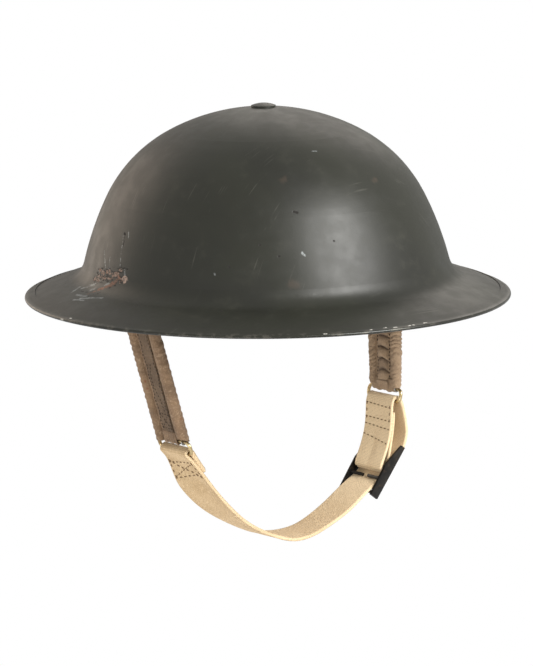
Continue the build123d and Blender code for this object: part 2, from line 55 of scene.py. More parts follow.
camera_distance = 1.806
sensor_height = 36.0
lens_over_frame_height = 2967.0 / 666.0
aim_right = 0.00073
aim_down = 0.0731
view_out = Vector((
    sin(camera_azimuth) * cos(camera_elevation),
    -cos(camera_azimuth) * cos(camera_elevation),
    sin(camera_elevation),
))
level_right = Vector((cos(camera_azimuth), sin(camera_azimuth), 0.0))
level_up = view_out.cross(level_right)
frame_right = level_right * cos(camera_roll) - level_up * sin(camera_roll)
frame_up = level_right * sin(camera_roll) + level_up * cos(camera_roll)
pivot = Vector((0.0, 0.0, rim_z + 0.050))
station = pivot + view_out * camera_distance
target = pivot + frame_right * aim_right - frame_up * aim_down
back = (station - target).normalized()
side = frame_up.cross(back).normalized()
upright = back.cross(side)
lens = bpy.data.cameras.new("camera")
lens.sensor_fit = "VERTICAL"
lens.sensor_height = sensor_height
lens.lens = sensor_height * lens_over_frame_height
lens.clip_end = 60.0
camera = bpy.data.objects.new("camera", lens)
camera.matrix_world = Matrix((
    (side.x, upright.x, back.x, station.x),
    (side.y, upright.y, back.y, station.y),
    (side.z, upright.z, back.z, station.z),
    (0.0, 0.0, 0.0, 1.0),
))
bpy.context.collection.objects.link(camera)
bpy.context.scene.camera = camera
bpy.context.scene.view_settings.view_transform = "Standard"


# The studio: a white floor well below the hanging strap, white paper all round, a large
# soft lamp before the helmet, a weak one behind each side and one low on its right.
class Nodes:
    """A node tree under work. Its methods add nodes and hand on what these put out."""

    def __init__(self, tree):
        tree.nodes.clear()
        self.tree = tree
        self.place = None

    def add(self, kind, settings=None, **values):
        """Adds a node. A value goes to the input of its name, or of its number when the
        name is n0, n1 and so on, and it is a constant or another node's output."""
        made = self.tree.nodes.new(kind)
        for name, value in (settings or {}).items():
            setattr(made, name, value)
        for name, value in values.items():
            number = name[1:]
            socket = made.inputs[int(number) if number.isdigit() else name.replace("_", " ")]
            if isinstance(value, bpy.types.NodeSocket):
                self.tree.links.new(value, socket)
            else:
                socket.default_value = value
        return made

    def use(self, group, **values):
        """Places a group and sets its inputs by name."""
        return self.add("ShaderNodeGroup", {"node_tree": group}, **values).outputs

    def maths(self, operation, first, second=0.0, third=0.0):
        """One sum on values or outputs."""
        return self.add("ShaderNodeMath", {"operation": operation}, n0=first, n1=second, n2=third).outputs[0]

    def times(self, first, *others):
        """The product of all that is given."""
        for other in others:
            first = self.maths("MULTIPLY", first, other)
        return first

    def largest(self, first, *others):
        """The largest of all that is given."""
        for other in others:
            first = self.maths("MAXIMUM", first, other)
        return first

    def times_plus(self, first, second, third):
        """The first times the second, and the third added."""
        return self.maths("MULTIPLY_ADD", first, second, third)

    def less(self, first, second):
        """The first with the second taken off."""
        return self.maths("SUBTRACT", first, second)

    def blend(self, share, under, over):
        """The under colour with the over colour laid on it by a share."""
        return self.add("ShaderNodeMix", {"data_type": "RGBA"}, n0=share, n6=under, n7=over).outputs[2]

    def between(self, value, low, high, out_low=0.0, out_high=1.0):
        """A value's smooth rise from low to high, as another range."""
        settings = {"interpolation_type": "SMOOTHSTEP"}
        return self.add(
            "ShaderNodeMapRange", settings, n0=value, n1=low, n2=high, n3=out_low, n4=out_high
        ).outputs[0]

    def parts(self, vector):
        """A vector's x, y and z."""
        return self.add("ShaderNodeSeparateXYZ", Vector=vector).outputs

    def cloudy(self, scale, detail=4.0, roughness=0.55, stretch=None, place=None):
        """Noise of so many waves a metre, drawn out by a stretch where one is given."""
        place = self.place if place is None else place
        if stretch:
            place = self.add("ShaderNodeMapping", Vector=place, Scale=stretch).outputs[0]
        noise = self.add("ShaderNodeTexNoise", Vector=place, Scale=scale, Detail=detail, Roughness=roughness)
        return noise.outputs["Fac"]

    def finish(self, colour, roughness, relief=None, **values):
        """Closes a material with one Principled shader. The relief is a strength, a
        depth in metres and a height."""
        if relief:
            strength, depth, height = relief
            values["Normal"] = self.add(
                "ShaderNodeBump", Strength=strength, Distance=depth, Height=height
            ).outputs[0]
        shader = self.add("ShaderNodeBsdfPrincipled", Base_Color=colour, Roughness=roughness, **values)
        self.add("ShaderNodeOutputMaterial", Surface=shader.outputs[0])


floor_z = -0.80
floor_reach = 25.0
white = (1.0, 1.0, 1.0, 1.0)
paper = bpy.data.materials.new("white_paper")
paper.use_nodes = True
tree = Nodes(paper.node_tree)
rays = tree.add("ShaderNodeLightPath").outputs
seen = tree.largest(rays["Is Camera Ray"], rays["Is Glossy Ray"], rays["Is Transmission Ray"])
matt = tree.add("ShaderNodeBsdfDiffuse", Color=(0.80, 0.79, 0.77, 1.0))
bright = tree.add("ShaderNodeEmission", Color=white, Strength=1.0)
upper = tree.add("ShaderNodeMixShader", Fac=seen, n1=matt.outputs[0], n2=bright.outputs[0])
clear = tree.add("ShaderNodeBsdfTransparent")
from_below = tree.add("ShaderNodeNewGeometry").outputs["Backfacing"]
either = tree.add("ShaderNodeMixShader", Fac=from_below, n1=upper.outputs[0], n2=clear.outputs[0])
tree.add("ShaderNodeOutputMaterial", Surface=either.outputs[0])
floor_mesh = bpy.data.meshes.new("floor")
floor_mesh.from_pydata(
    [(x * floor_reach, y * floor_reach, floor_z) for x, y in ((-1, -1), (1, -1), (1, 1), (-1, 1))],
    [], [(0, 1, 2, 3)],
)
floor_mesh.materials.append(paper)
floor = bpy.data.objects.new("floor", floor_mesh)
bpy.context.collection.objects.link(floor)

world = bpy.data.worlds.new("studio")
world.use_nodes = True
bpy.context.scene.world = world
tree = Nodes(world.node_tree)
rays = tree.add("ShaderNodeLightPath").outputs
seen = tree.largest(rays["Is Camera Ray"], rays["Is Transmission Ray"])
lit = tree.add("ShaderNodeBackground", Color=(1.0, 0.985, 0.95, 1.0), Strength=0.74)
shown = tree.add("ShaderNodeBackground", Color=white, Strength=1.0)
either = tree.add("ShaderNodeMixShader", Fac=seen, n1=lit.outputs[0], n2=shown.outputs[0])
tree.add("ShaderNodeOutputWorld", Surface=either.outputs[0])


def soft_lamp(name, azimuth, elevation, distance, size, watts, colour):
    """A square lamp that faces the helmet from a direction."""
    out = Vector((cos(azimuth) * cos(elevation), sin(azimuth) * cos(elevation), sin(elevation)))
    light = bpy.data.lights.new(name, "AREA")
    light.shape = "SQUARE"
    light.size = size
    light.energy = watts
    light.color = colour
    lamp = bpy.data.objects.new(name, light)
    turned = out.to_track_quat("Z", "Y").to_matrix().to_4x4()
    lamp.matrix_world = Matrix.Translation(pivot + out * distance) @ turned
    lamp.visible_camera = False
    bpy.context.collection.objects.link(lamp)


soft_lamp("front_lamp", radians(-82.5), radians(27.0), 1.6, 1.0, 49.0, (1.0, 0.99, 0.97))
soft_lamp("side_lamp", radians(99.0), radians(13.0), 1.8, 1.3, 12.0, (1.0, 0.81, 0.64))
soft_lamp("low_lamp", radians(195.0), radians(-22.0), 1.3, 1.0, 6.0, (1.0, 0.98, 0.95))
soft_lamp("rear_lamp", radians(38.0), radians(32.0), 1.7, 1.0, 6.8, (1.0, 0.92, 0.84))


# Shell: one pressing of manganese steel in dark olive paint, handled until it is satin,
# with a bare rusty patch low on its right side and fine scratches all over.
def new_material(name):
    """A material, and its tree with the object's own coordinates as its place."""
    made = bpy.data.materials.new(name)
    made.use_nodes = True
    tree = Nodes(made.node_tree)
    tree.place = tree.add("ShaderNodeTexCoord").outputs["Object"]
    return made, tree


def coat(piece, material):
    """Gives an object one material in place of any that it has."""
    piece.data.materials.clear()
    piece.data.materials.append(material)
    return piece


def dress(names, material):
    """Gives CAD nodes' objects a material."""
    for name in names:
        coat(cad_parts[name], material)


def new_group(name, vectors, numbers):
    """Starts a shader group with vectors as inputs, and numbers with their usual values.
    Gives back the group, its tree and what comes in."""
    group = bpy.data.node_groups.new(name, "ShaderNodeTree")
    for label in vectors:
        group.interface.new_socket(label, in_out="INPUT", socket_type="NodeSocketVector")
    for label, usual in numbers:
        socket = group.interface.new_socket(label, in_out="INPUT", socket_type="NodeSocketFloat")
        socket.default_value = usual
    tree = Nodes(group)
    given = tree.add("NodeGroupInput").outputs
    tree.place = given[0]
    return group, tree, given


def close_group(tree, **values):
    """Ends a shader group with its outputs, which are all numbers."""
    for label in values:
        tree.tree.interface.new_socket(label, in_out="OUTPUT", socket_type="NodeSocketFloat")
    tree.add("NodeGroupOutput", **values)


# A mark: a spot where its two ends meet, and a streak or scratch where they don't
mark_group, tree, given = new_group(
    "mark", ["Place", "Start", "End"], [("Half Width", 0.002), ("Raggedness", 0.001), ("Softness", 0.3)]
)


def on_vectors(operation, first, second):
    """One sum on two vectors."""
    made = tree.add("ShaderNodeVectorMath", {"operation": operation}, n0=first, n1=second)
    return made.outputs["Vector" if operation == "SUBTRACT" else "Value"]


along = on_vectors("SUBTRACT", given["End"], given["Start"])
off = on_vectors("SUBTRACT", given["Place"], given["Start"])
run = on_vectors("DOT_PRODUCT", off, along)
size = tree.largest(on_vectors("DOT_PRODUCT", along, along), 1e-9)
share = tree.add("ShaderNodeClamp", Value=tree.maths("DIVIDE", run, size)).outputs[0]
foot = tree.add("ShaderNodeVectorMath", {"operation": "SCALE"}, n0=along, Scale=share).outputs[0]
away = on_vectors("DISTANCE", off, foot)
ragged = tree.times(tree.less(tree.cloudy(420.0, 5.0, 0.65), 0.5), 4.0)
away = tree.times_plus(ragged, given["Raggedness"], away)
core = tree.times(given["Half Width"], tree.less(1.0, given["Softness"]))
edge = tree.times(given["Half Width"], tree.maths("ADD", 1.0, given["Softness"]))
close_group(tree, Mask=tree.between(away, core, edge, 1.0, 0.0))


def marks(tree, table, raggedness, softness):
    """All marks of one kind together, each a start, an end and a half width in mm."""
    return tree.largest(*(
        tree.use(
            mark_group, Place=tree.place, Start=[v / 1000 for v in start], End=[v / 1000 for v in end],
            Half_Width=half_width / 1000, Raggedness=raggedness / 1000, Softness=softness,
        )["Mask"]
        for start, end, half_width in table
    ))


# Fine hairline scratches in three directions, broken up so that they come and go
hairlines_group, tree, given = new_group("hairlines", ["Place"], [("Amount", 0.5)])
lines = []
for turn, seed in ((0.5, 3.0), (-0.9, 17.0), (1.4, 31.0)):
    turned = tree.add(
        "ShaderNodeMapping", Vector=tree.place, Rotation=(turn, turn / 2, turn), Location=(seed, seed, 0.0),
        Scale=(26.0, 900.0, 26.0),
    ).outputs[0]
    lines.append(tree.between(tree.cloudy(1.0, 1.0, 0.4, place=turned), 0.70, 0.76))
broken = tree.between(tree.cloudy(60.0, 3.0), 0.50, 0.66)
close_group(tree, Mask=tree.times(tree.largest(*lines), broken, given["Amount"]))

rust_blotches = [
    ((-104.6, 29.0, -76.4), (-106.2, 23.4, -77.6), 1.3),
    ((-106.3, 20.6, -76.0), (-107.0, 15.4, -76.6), 1.2),
    ((-105.3, 33.6, -82.1), (-107.0, 27.7, -82.4), 1.3),
    ((-106.5, 24.8, -79.8), (-107.4, 20.4, -80.4), 1.1),
    ((-107.7, 12.4, -77.2), (-107.7, 7.4, -75.8), 1.3),
    ((-107.2, 6.6, -73.6), (-107.4, 3.4, -73.8), 0.7),
    ((-105.0, 31.4, -79.6), (-105.9, 27.2, -80.2), 0.9),
    ((-108.2, 6.6, -77.6), (-108.7, 3.4, -79.2), 1.2),
    ((-107.2, 17.4, -79.4), (-107.8, 13.0, -79.8), 0.9),
]
copper_streaks = [
    ((-116.4, 27.8, -89.4), (-111.9, 22.6, -86.8), 0.5),
    ((-111.9, 22.6, -86.8), (-109.5, 11.6, -82.3), 1.0),
    ((-109.5, 11.6, -82.3), (-108.4, 5.2, -77.8), 1.3),
]
patch_cracks = [
    ((-104.0, 30.7, -75.6), (-106.3, 17.8, -74.3), 0.55),
    ((-106.6, 13.1, -73.1), (-107.0, -0.9, -72.1), 0.65),
    ((-106.5, 33.8, -84.0), (-108.6, 20.2, -82.5), 0.60),
    ((-103.6, 37.5, -81.1), (-104.6, 31.1, -78.4), 0.55),
    ((-106.7, 21.0, -78.2), (-107.9, 13.5, -78.6), 0.60),
    ((-107.7, 4.0, -74.9), (-107.4, 1.2, -76.8), 0.60),
    ((-112.8, 38.8, -89.2), (-113.7, 30.2, -88.7), 0.55),
    ((-118.0, 23.6, -89.7), (-113.8, 17.6, -87.5), 0.50),
    ((-111.2, 13.6, -85.0), (-109.2, 5.5, -80.6), 0.60),
    ((-109.1, 4.0, -80.1), (-108.0, 2.4, -77.9), 0.60),
    ((-106.9, 14.8, -75.1), (-107.6, 12.9, -77.2), 0.60),
    ((-108.3, 24.7, -83.5), (-108.5, 14.5, -80.8), 0.55),
]
dark_marks = [
    ((-100.0, 9.3, -52.6), (-106.9, 5.8, -71.9), 0.22),
    ((-100.1, 9.9, -52.9), (-100.3, 9.1, -53.4), 0.80),
    ((-48.6, -83.6, -36.2), (-47.2, -84.8, -36.8), 0.8),
    ((-84.0, -66.8, -66.1), (-84.0, -66.8, -66.1), 0.8),
    ((-62.9, -86.4, -60.3), (-62.9, -86.4, -60.3), 0.6),
    ((-33.0, -100.3, -53.3), (-33.0, -100.3, -53.3), 0.6),
    ((-69.3, -77.3, -53.9), (-69.3, -77.3, -53.9), 0.6),
    ((-96.2, -73.5, -89.3), (-96.4, -74.2, -89.4), 0.5),
]
light_scuffs = [
    ((-115.3, 44.3, -90.6), (-107.4, 46.0, -88.1), 0.9),
    ((-121.5, 27.2, -91.1), (-118.3, 10.1, -89.2), 0.7),
    ((-108.5, 37.9, -87.0), (-108.0, 30.2, -84.6), 0.8),
    ((-118.0, 35.2, -90.5), (-118.6, 24.5, -90.0), 0.8),
    ((-112.2, 29.6, -88.0), (-110.4, 27.0, -86.3), 0.9),
    ((-109.9, 18.6, -84.1), (-109.2, 14.5, -82.1), 0.6),
    ((-107.2, 2.1, -73.0), (-108.0, 0.5, -75.7), 0.6),
    ((-123.6, 31.0, -92.1), (-123.3, 21.5, -91.4), 0.6),
    ((-110.0, 40.9, -88.4), (-108.2, 36.2, -86.4), 0.8),
    ((-101.5, 28.7, -65.7), (-105.5, 22.4, -74.5), 0.40),
    ((-100.9, 10.9, -54.2), (-107.0, 6.6, -72.0), 0.26),
    ((-104.0, 19.8, -67.9), (-106.1, 18.4, -74.0), 0.34),
    ((-99.4, 7.0, -50.6), (-101.6, 4.6, -56.1), 0.22),
    ((-51.7, -93.7, -58.8), (-50.0, -94.6, -60.2), 0.45),
    ((-16.7, -67.1, -5.4), (-19.5, -66.3, -5.0), 0.35),
    ((-89.6, -60.5, -70.1), (-89.7, -60.7, -70.6), 0.5),
]
faint_rust = [
    ((-60.3, -94.5, -75.7), (-58.0, -95.6, -76.6), 2.2),
    ((-46.1, -70.6, -19.2), (-44.6, -71.0, -18.8), 1.6),
    ((8.8, -89.1, -23.7), (10.6, -88.6, -23.4), 1.6),
]

olive = (0.0125, 0.0132, 0.0088, 1.0)
olive_dark = (0.0088, 0.0092, 0.0064, 1.0)
olive_dusty = (0.0220, 0.0220, 0.0158, 1.0)
hairline_grey = (0.13, 0.128, 0.11, 1.0)
rust_pink = (0.300, 0.205, 0.160, 1.0)
rust_copper = (0.215, 0.100, 0.062, 1.0)
rust_faint = (0.10, 0.062, 0.042, 1.0)
bare_blue_grey = (0.20, 0.215, 0.215, 1.0)
crack_and_gap_shade_black = (0.012, 0.010, 0.009, 1.0)
upright_stretch = (1.0, 0.36, 1.0)


def rusty_patch(tree, colour, rough, metal, height):
    """The rusty patch and the scuffs beside it, on the outside of the sheet only."""
    normal = tree.add("ShaderNodeNewGeometry").outputs["Normal"]
    outside = tree.between(tree.parts(normal)[2], -0.02, 0.06)
    colour = tree.blend(tree.times(marks(tree, faint_rust, 1.2, 0.8), 0.16), colour, rust_faint)
    broken = tree.between(tree.cloudy(1050.0, 5.0, 0.75, upright_stretch), 0.44, 0.54)
    cracks = tree.between(tree.cloudy(980.0, 4.0, 0.7, upright_stretch), 0.46, 0.53)
    mottled = tree.between(tree.cloudy(600.0, 4.0, 0.7, upright_stretch), 0.46, 0.62)
    rubbed = tree.between(tree.cloudy(420.0, 5.0, 0.7, (1.0, 0.30, 1.0)), 0.40, 0.56)

    pink = marks(tree, rust_blotches, 1.5, 0.35)
    pink = tree.times(pink, tree.times_plus(broken, 0.9, 0.1), outside)
    colour = tree.blend(tree.times(pink, 0.88), colour, tree.blend(mottled, rust_pink, rust_copper))
    copper = marks(tree, copper_streaks, 1.2, 0.4)
    copper = tree.times(copper, tree.times_plus(broken, 0.60, 0.40), outside)
    colour = tree.blend(tree.times(copper, 0.85), colour, rust_copper)
    scuffs = marks(tree, light_scuffs, 0.9, 0.8)
    scuffs = tree.times(scuffs, tree.times_plus(rubbed, 0.85, 0.10), outside)
    colour = tree.blend(tree.times(scuffs, 0.90), colour, bare_blue_grey)

    split = tree.times(marks(tree, patch_cracks, 1.3, 0.5), tree.times_plus(cracks, 0.8, 0.1))
    wider = [(start, end, half_width + 1.3) for start, end, half_width in rust_blotches]
    flaked = tree.times(marks(tree, wider, 2.0, 0.45), cracks, tree.less(1.0, pink))
    darks = tree.times(tree.largest(marks(tree, dark_marks, 0.35, 0.4), split, flaked), outside)
    colour = tree.blend(tree.times(darks, 0.85), colour, crack_and_gap_shade_black)

    bare = tree.largest(pink, copper)
    rough = tree.largest(tree.times_plus(bare, 0.22, rough), tree.times(darks, 0.92))
    metal = tree.largest(metal, tree.times(scuffs, 0.5))
    height = tree.times_plus(tree.largest(bare, darks), -1.2, height)
    return colour, rough, metal, height


def painted(name, wear=None):
    """Dark olive paint with dust, specks and hairlines, and a wear of its own laid on, which on the rim band also
    paints shade and a highlight.
    """
    made, tree = new_material(name)
    broad = tree.cloudy(14.0, 3.0)
    fine = tree.cloudy(95.0, 6.0, 0.62)
    hairs = tree.use(hairlines_group, Place=tree.place, Amount=0.55)["Mask"]
    speckle = tree.between(tree.cloudy(520.0, 2.0, 0.5), 0.70, 0.76)
    colour = tree.blend(tree.between(broad, 0.38, 0.66), olive, olive_dark)
    colour = tree.blend(tree.between(fine, 0.52, 0.78, 0.0, 0.55), colour, olive_dusty)
    colour = tree.blend(tree.times(hairs, 0.35), colour, hairline_grey)
    colour = tree.blend(tree.times(speckle, 0.45), colour, crack_and_gap_shade_black)
    rough = tree.between(fine, 0.30, 0.72, 0.40, 0.48)
    rough = tree.maths("ADD", rough, tree.between(broad, 0.35, 0.70, -0.02, 0.03))
    grazing = tree.add("ShaderNodeLayerWeight", Blend=0.5).outputs["Facing"]
    rough = tree.times_plus(tree.maths("POWER", grazing, 2.5), 0.22, rough)
    metal = tree.times(hairs, 0.25)
    height = tree.times_plus(tree.cloudy(700.0, 3.0, 0.6), 0.35, tree.times(broad, 0.5))
    if wear:
        colour, rough, metal, height = wear(tree, colour, rough, metal, height)
    tree.finish(colour, rough, (0.22, 0.0002, height), Metallic=metal, Specular_IOR_Level=0.38)
    return made


dress(["shell"], painted("shell_paint", rusty_patch))


# Rim band: a folded strip of thin steel clamped round the edge of the brim, in the same
# paint, rubbed grey along its outermost edge, where this also paints a highlight line, and
# chipped in front, with painted shade along its inner edge.
rim_chips = [
    ((-70.1, -132.9, -98.4), (-68.4, -133.8, -98.4), 0.34),
    ((-45.0, -143.7, -98.1), (-43.8, -144.0, -98.1), 0.30),
    ((-36.4, -145.7, -97.9), (-34.6, -146.2, -97.9), 0.34),
    ((-30.4, -147.9, -98.1), (-28.6, -148.2, -98.1), 0.40),
    ((-21.3, -149.8, -98.2), (-19.8, -150.0, -98.1), 0.40),
    ((-17.9, -150.0, -98.0), (-16.9, -150.1, -98.0), 0.32),
    ((-9.6, -150.5, -97.9), (-7.6, -150.6, -97.9), 0.36),
    ((-144.2, 14.1, -99.3), (-144.0, 16.0, -99.3), 0.50),
    ((-142.6, 9.0, -97.9), (-142.6, 7.6, -97.9), 0.45),
]
rubbed_and_highlight_grey = (0.16, 0.15, 0.13, 1.0)
chip_grey = (0.36, 0.35, 0.32, 1.0)
# Reaches of the painted shade line along the band's inner edge, and of its outermost edge, rubbed grey and painted
# with a highlight line
gap_shade_starts = (0.1376, 0.1382)
gap_shade_ends = (0.1388, 0.1394)
rubbed_and_highlight_starts = (0.1418, 0.1442)

# Distance from the helmet's middle, measured on its oval, in metres
rim_length_share = 1.0552
oval_group, tree, given = new_group("oval_reach", ["Place"], [])
x, y, _ = tree.parts(tree.place)
y = tree.maths("DIVIDE", y, rim_length_share)
close_group(tree, Reach=tree.maths("SQRT", tree.maths("ADD", tree.times(x, x), tree.times(y, y))))


def band_wear_and_painted_light(tree, colour, rough, metal, height):
    """The rim's wear and painted light: painted shade as a dark line along its inner edge, a rubbed grey outer edge
    that also paints a highlight line, and its chips.
    """
    reach = tree.use(oval_group, Place=tree.place)["Reach"]
    edge = tree.between(reach, *rubbed_and_highlight_starts)
    worn = tree.times(edge, tree.between(tree.cloudy(190.0, 5.0, 0.7), 0.50, 0.60))
    # Painted shade: a dark line along the band's inner edge, where it steps up off the shell.
    inner = tree.times(
        tree.between(reach, *gap_shade_starts), tree.between(reach, *gap_shade_ends, 1.0, 0.0)
    )
    colour = tree.blend(tree.times(inner, 0.6), colour, crack_and_gap_shade_black)
    # Rubbed grey on the outermost edge: partly real rubbing, partly a painted highlight line.
    colour = tree.blend(tree.times(worn, 0.30), colour, rubbed_and_highlight_grey)
    chips = marks(tree, rim_chips, 0.5, 0.3)
    colour = tree.blend(tree.times(chips, 0.85), colour, chip_grey)
    metal = tree.largest(metal, tree.times(worn, 0.45))
    rough = tree.less(rough, tree.times(edge, 0.14))
    return colour, rough, metal, height


dress(["rim_band"], painted("rim_paint", band_wear_and_painted_light))


# Crown bolt: the low domed head shows on top of the dome, in the shell's paint. Below,
# a flat brass washer and a hexagon nut hold the liner up.
dress(["crown_bolt"], painted("bolt_paint"))


def old_metal(name, fresh, aged, rough_low, rough_high, scale=260.0):
    """Bare metal, dulled in its hollows and rubbed bright elsewhere."""
    made, tree = new_material(name)
    patches = tree.between(tree.cloudy(scale, 5.0, 0.6), 0.40, 0.64)
    fine = tree.cloudy(scale * 6, 3.0, 0.6)
    tree.finish(
        tree.blend(patches, fresh, aged), tree.between(fine, 0.3, 0.7, rough_low, rough_high),
        (0.25, 0.0001, fine), Metallic=tree.between(patches, 0.0, 1.0, 1.0, 0.82),
    )
    return made


brass = old_metal("old_brass", (0.52, 0.40, 0.20, 1.0), (0.26, 0.18, 0.085, 1.0), 0.26, 0.42)
dress(["crown_washer", "crown_nut", "liner_rivets"], brass)


# Liner cross and headband: straps of brown vulcanised fibre, glazed by handling, the
# cross riveted to the band at each end and hung from the crown bolt.
fibre, tree = new_material("liner_fibre")
grain = tree.cloudy(150.0, 7.0, 0.68)
spots = tree.between(tree.cloudy(180.0, 4.0, 0.6), 0.52, 0.70)
colour = tree.blend(tree.between(grain, 0.36, 0.66), (0.115, 0.060, 0.030, 1.0), (0.062, 0.034, 0.019, 1.0))
colour = tree.blend(tree.times(spots, 0.5), colour, (0.030, 0.020, 0.014, 1.0))
tree.finish(colour, tree.between(grain, 0.3, 0.7, 0.42, 0.62), (0.3, 0.0002, grain))
dress(["liner_cross", "headband"], fibre)


# Sweatband: leathercloth turned up inside the headband and hemmed under its lower edge,
# with a turned top, gone soft and wavy with wear.
def distances(line):
    """How far along a line each of its points lies."""
    return np.concatenate([[0.0], np.cumsum(np.linalg.norm(np.diff(line, axis=0), axis=1))])


def reworked(mesh, job):
    """Does one job on a mesh's faces and points."""
    work = bmesh.new()
    work.from_mesh(mesh)
    job(work)
    work.to_mesh(mesh)
    work.free()


def new_piece(name, mesh):
    """An object at the origin for a mesh."""
    piece = bpy.data.objects.new(name, mesh)
    bpy.context.collection.objects.link(piece)
    return piece


def lofted(name, sections, close_along=False, capped=False):
    """A skin over equal rings of points, with its own UVs in metres round and along."""
    points = np.array(sections, dtype=float)
    rows, count = points.shape[:2]
    middle = points[rows // 2]
    around = distances(np.vstack([middle, middle[:1]]))
    spine = points[:, 0] if close_along else points.mean(axis=1)
    along = distances(np.vstack([spine, spine[:1]]))
    faces = []
    corners = []
    for row in range(rows if close_along else rows - 1):
        this_row, next_row = row * count, (row + 1) % rows * count
        low, high = along[row], along[row + 1]
        for number in range(count):
            following = (number + 1) % count
            near, far = around[number], around[number + 1]
            faces.append((this_row + number, this_row + following, next_row + following, next_row + number))
            corners += [(near, low), (far, low), (far, high), (near, high)]
    if capped:
        for row, turned in ((0, True), (rows - 1, False)):
            ring = list(range(row * count, row * count + count))
            ring = ring[::-1] if turned else ring
            faces.append(tuple(ring))
            corners += [(around[number % count], along[row]) for number in ring]
    mesh = bpy.data.meshes.new(name)
    mesh.from_pydata(points.reshape(-1, 3).tolist(), [], faces)
    layer = mesh.uv_layers.new(name="metres")
    layer.data.foreach_set("uv", np.array(corners, dtype=float).ravel())
    mesh.polygons.foreach_set("use_smooth", [True] * len(mesh.polygons))
    reworked(mesh, lambda work: bmesh.ops.recalc_face_normals(work, faces=work.faces))
    return new_piece(name, mesh)


def joined(name, pieces):
    """One piece from several, which may have materials of their own."""
    with bpy.context.temp_override(active_object=pieces[0], selected_editable_objects=pieces):
        bpy.ops.object.join()
    pieces[0].name = name
    return pieces[0]


def placed_in(piece, body, slot, *nodes):
    """Sets a finished piece on its body in place of CAD nodes."""
    if nodes:
        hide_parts(*nodes)
    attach(piece, body)


band_side = 0.0808349
band_end = 0.1007982
cloth_inset = 0.0013
cloth_thickness = 0.0015
cloth_base = rim_z + 0.0104
cloth_top = rim_z + 0.0464


def on_oval(inset, height, turn):
    """A place on an upright oval wall inside the headband."""
    return ((band_side - inset) * cos(turn), (band_end - inset) * sin(turn), height)


rng = np.random.default_rng(7)
waves = [(number, rng.uniform(0, 2 * pi), rng.uniform(0.3, 1.0) / number**0.5) for number in (9, 14, 23, 37, 52)]
turns = 360
sections = []
for row in range(turns):
    turn = 2 * pi * row / turns
    wave = sum(size * sin(number * turn + start) for number, start, size in waves)
    full = 0.00016 * wave
    lift = 0.00045 * sin(6 * turn + 1.0) + 0.00022 * wave
    inner = cloth_inset + cloth_thickness
    profile = [
        (0.0002, cloth_base + 0.0006), (0.0009, cloth_base + 0.0001), (0.0018, cloth_base + 0.0000),
        (inner + 0.0002, cloth_base + 0.0004), (inner + 0.0006 + full, cloth_base + 0.0016),
        (inner + 0.0002 + full, cloth_base + 0.0034), (inner + 0.0003 + full, cloth_base + 0.0046),
        (inner + 0.0009 + 2 * full, cloth_base + 0.0090), (inner + 0.0013 + 3 * full, cloth_base + 0.0160),
        (inner + 0.0012 + 3 * full, cloth_base + 0.0230), (inner + 0.0007 + 2 * full, cloth_base + 0.0290),
        (inner + 0.0002 + full, cloth_base + 0.0320), (inner + 0.0005 + full, cloth_base + 0.0334),
        (inner + 0.0002 + full, cloth_top - 0.0006 + lift), (inner - 0.0007, cloth_top + lift),
        (cloth_inset + 0.0001, cloth_top - 0.0006 + lift), (cloth_inset, cloth_top - 0.0024),
        (cloth_inset, cloth_base + 0.0200), (cloth_inset, cloth_base + 0.0020), (0.0007, cloth_base + 0.0013),
    ]
    sections.append([on_oval(inset, height, turn) for inset, height in profile])

leathercloth, tree = new_material("leathercloth")
pores = tree.add("ShaderNodeTexVoronoi", {"feature": "DISTANCE_TO_EDGE"}, Vector=tree.place, Scale=900.0)
pebbles = tree.between(pores.outputs["Distance"], 0.0, 0.28)
grime = tree.cloudy(38.0, 5.0, 0.6)
colour = tree.blend(tree.between(grime, 0.36, 0.68), (0.070, 0.046, 0.030, 1.0), (0.030, 0.022, 0.016, 1.0))
colour = tree.blend(tree.times(tree.less(1.0, pebbles), 0.6), colour, (0.012, 0.009, 0.007, 1.0))
tree.finish(colour, tree.between(grime, 0.3, 0.7, 0.38, 0.60), (0.5, 0.0002, pebbles))
sweatband = coat(lofted("sweatband_cloth", sections, close_along=True), leathercloth)
placed_in(sweatband, "helmet", "sweatband_leathercloth", "sweatband")


# Rubber: a cross-shaped pad under the crown and four blocks behind the headband, all
# moulded, their edges rounded by use and their faces dusted with bloom.
def copied(name, node, flat_angle=None):
    """A CAD solid's copy as a piece of its own, with doubled points merged, and with
    faces made one where they turn by less than an angle."""
    piece = new_piece(name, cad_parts[node].data.copy())
    piece.data.materials.clear()

    def merge(work):
        bmesh.ops.remove_doubles(work, verts=work.verts, dist=1e-6)
        if flat_angle:
            bmesh.ops.dissolve_limit(work, angle_limit=flat_angle, verts=work.verts, edges=work.edges)

    reworked(piece.data, merge)
    return piece


def settled(piece):
    """Turns what a piece's modifiers make of it into its own plain mesh."""
    bpy.context.view_layer.update()
    piece.data = bpy.data.meshes.new_from_object(piece.evaluated_get(bpy.context.evaluated_depsgraph_get()))
    piece.data.name = piece.name
    piece.modifiers.clear()
    return piece


def softened(name, node, cell):
    """A copy of a CAD solid with its edges worn round."""
    piece = copied(name, node)
    remesh = piece.modifiers.new("cells", "REMESH")
    remesh.mode = "VOXEL"
    remesh.voxel_size = cell
    remesh.use_smooth_shade = True
    smooth = piece.modifiers.new("worn", "SMOOTH")
    smooth.iterations = 6
    smooth.factor = 0.5
    return settled(piece)


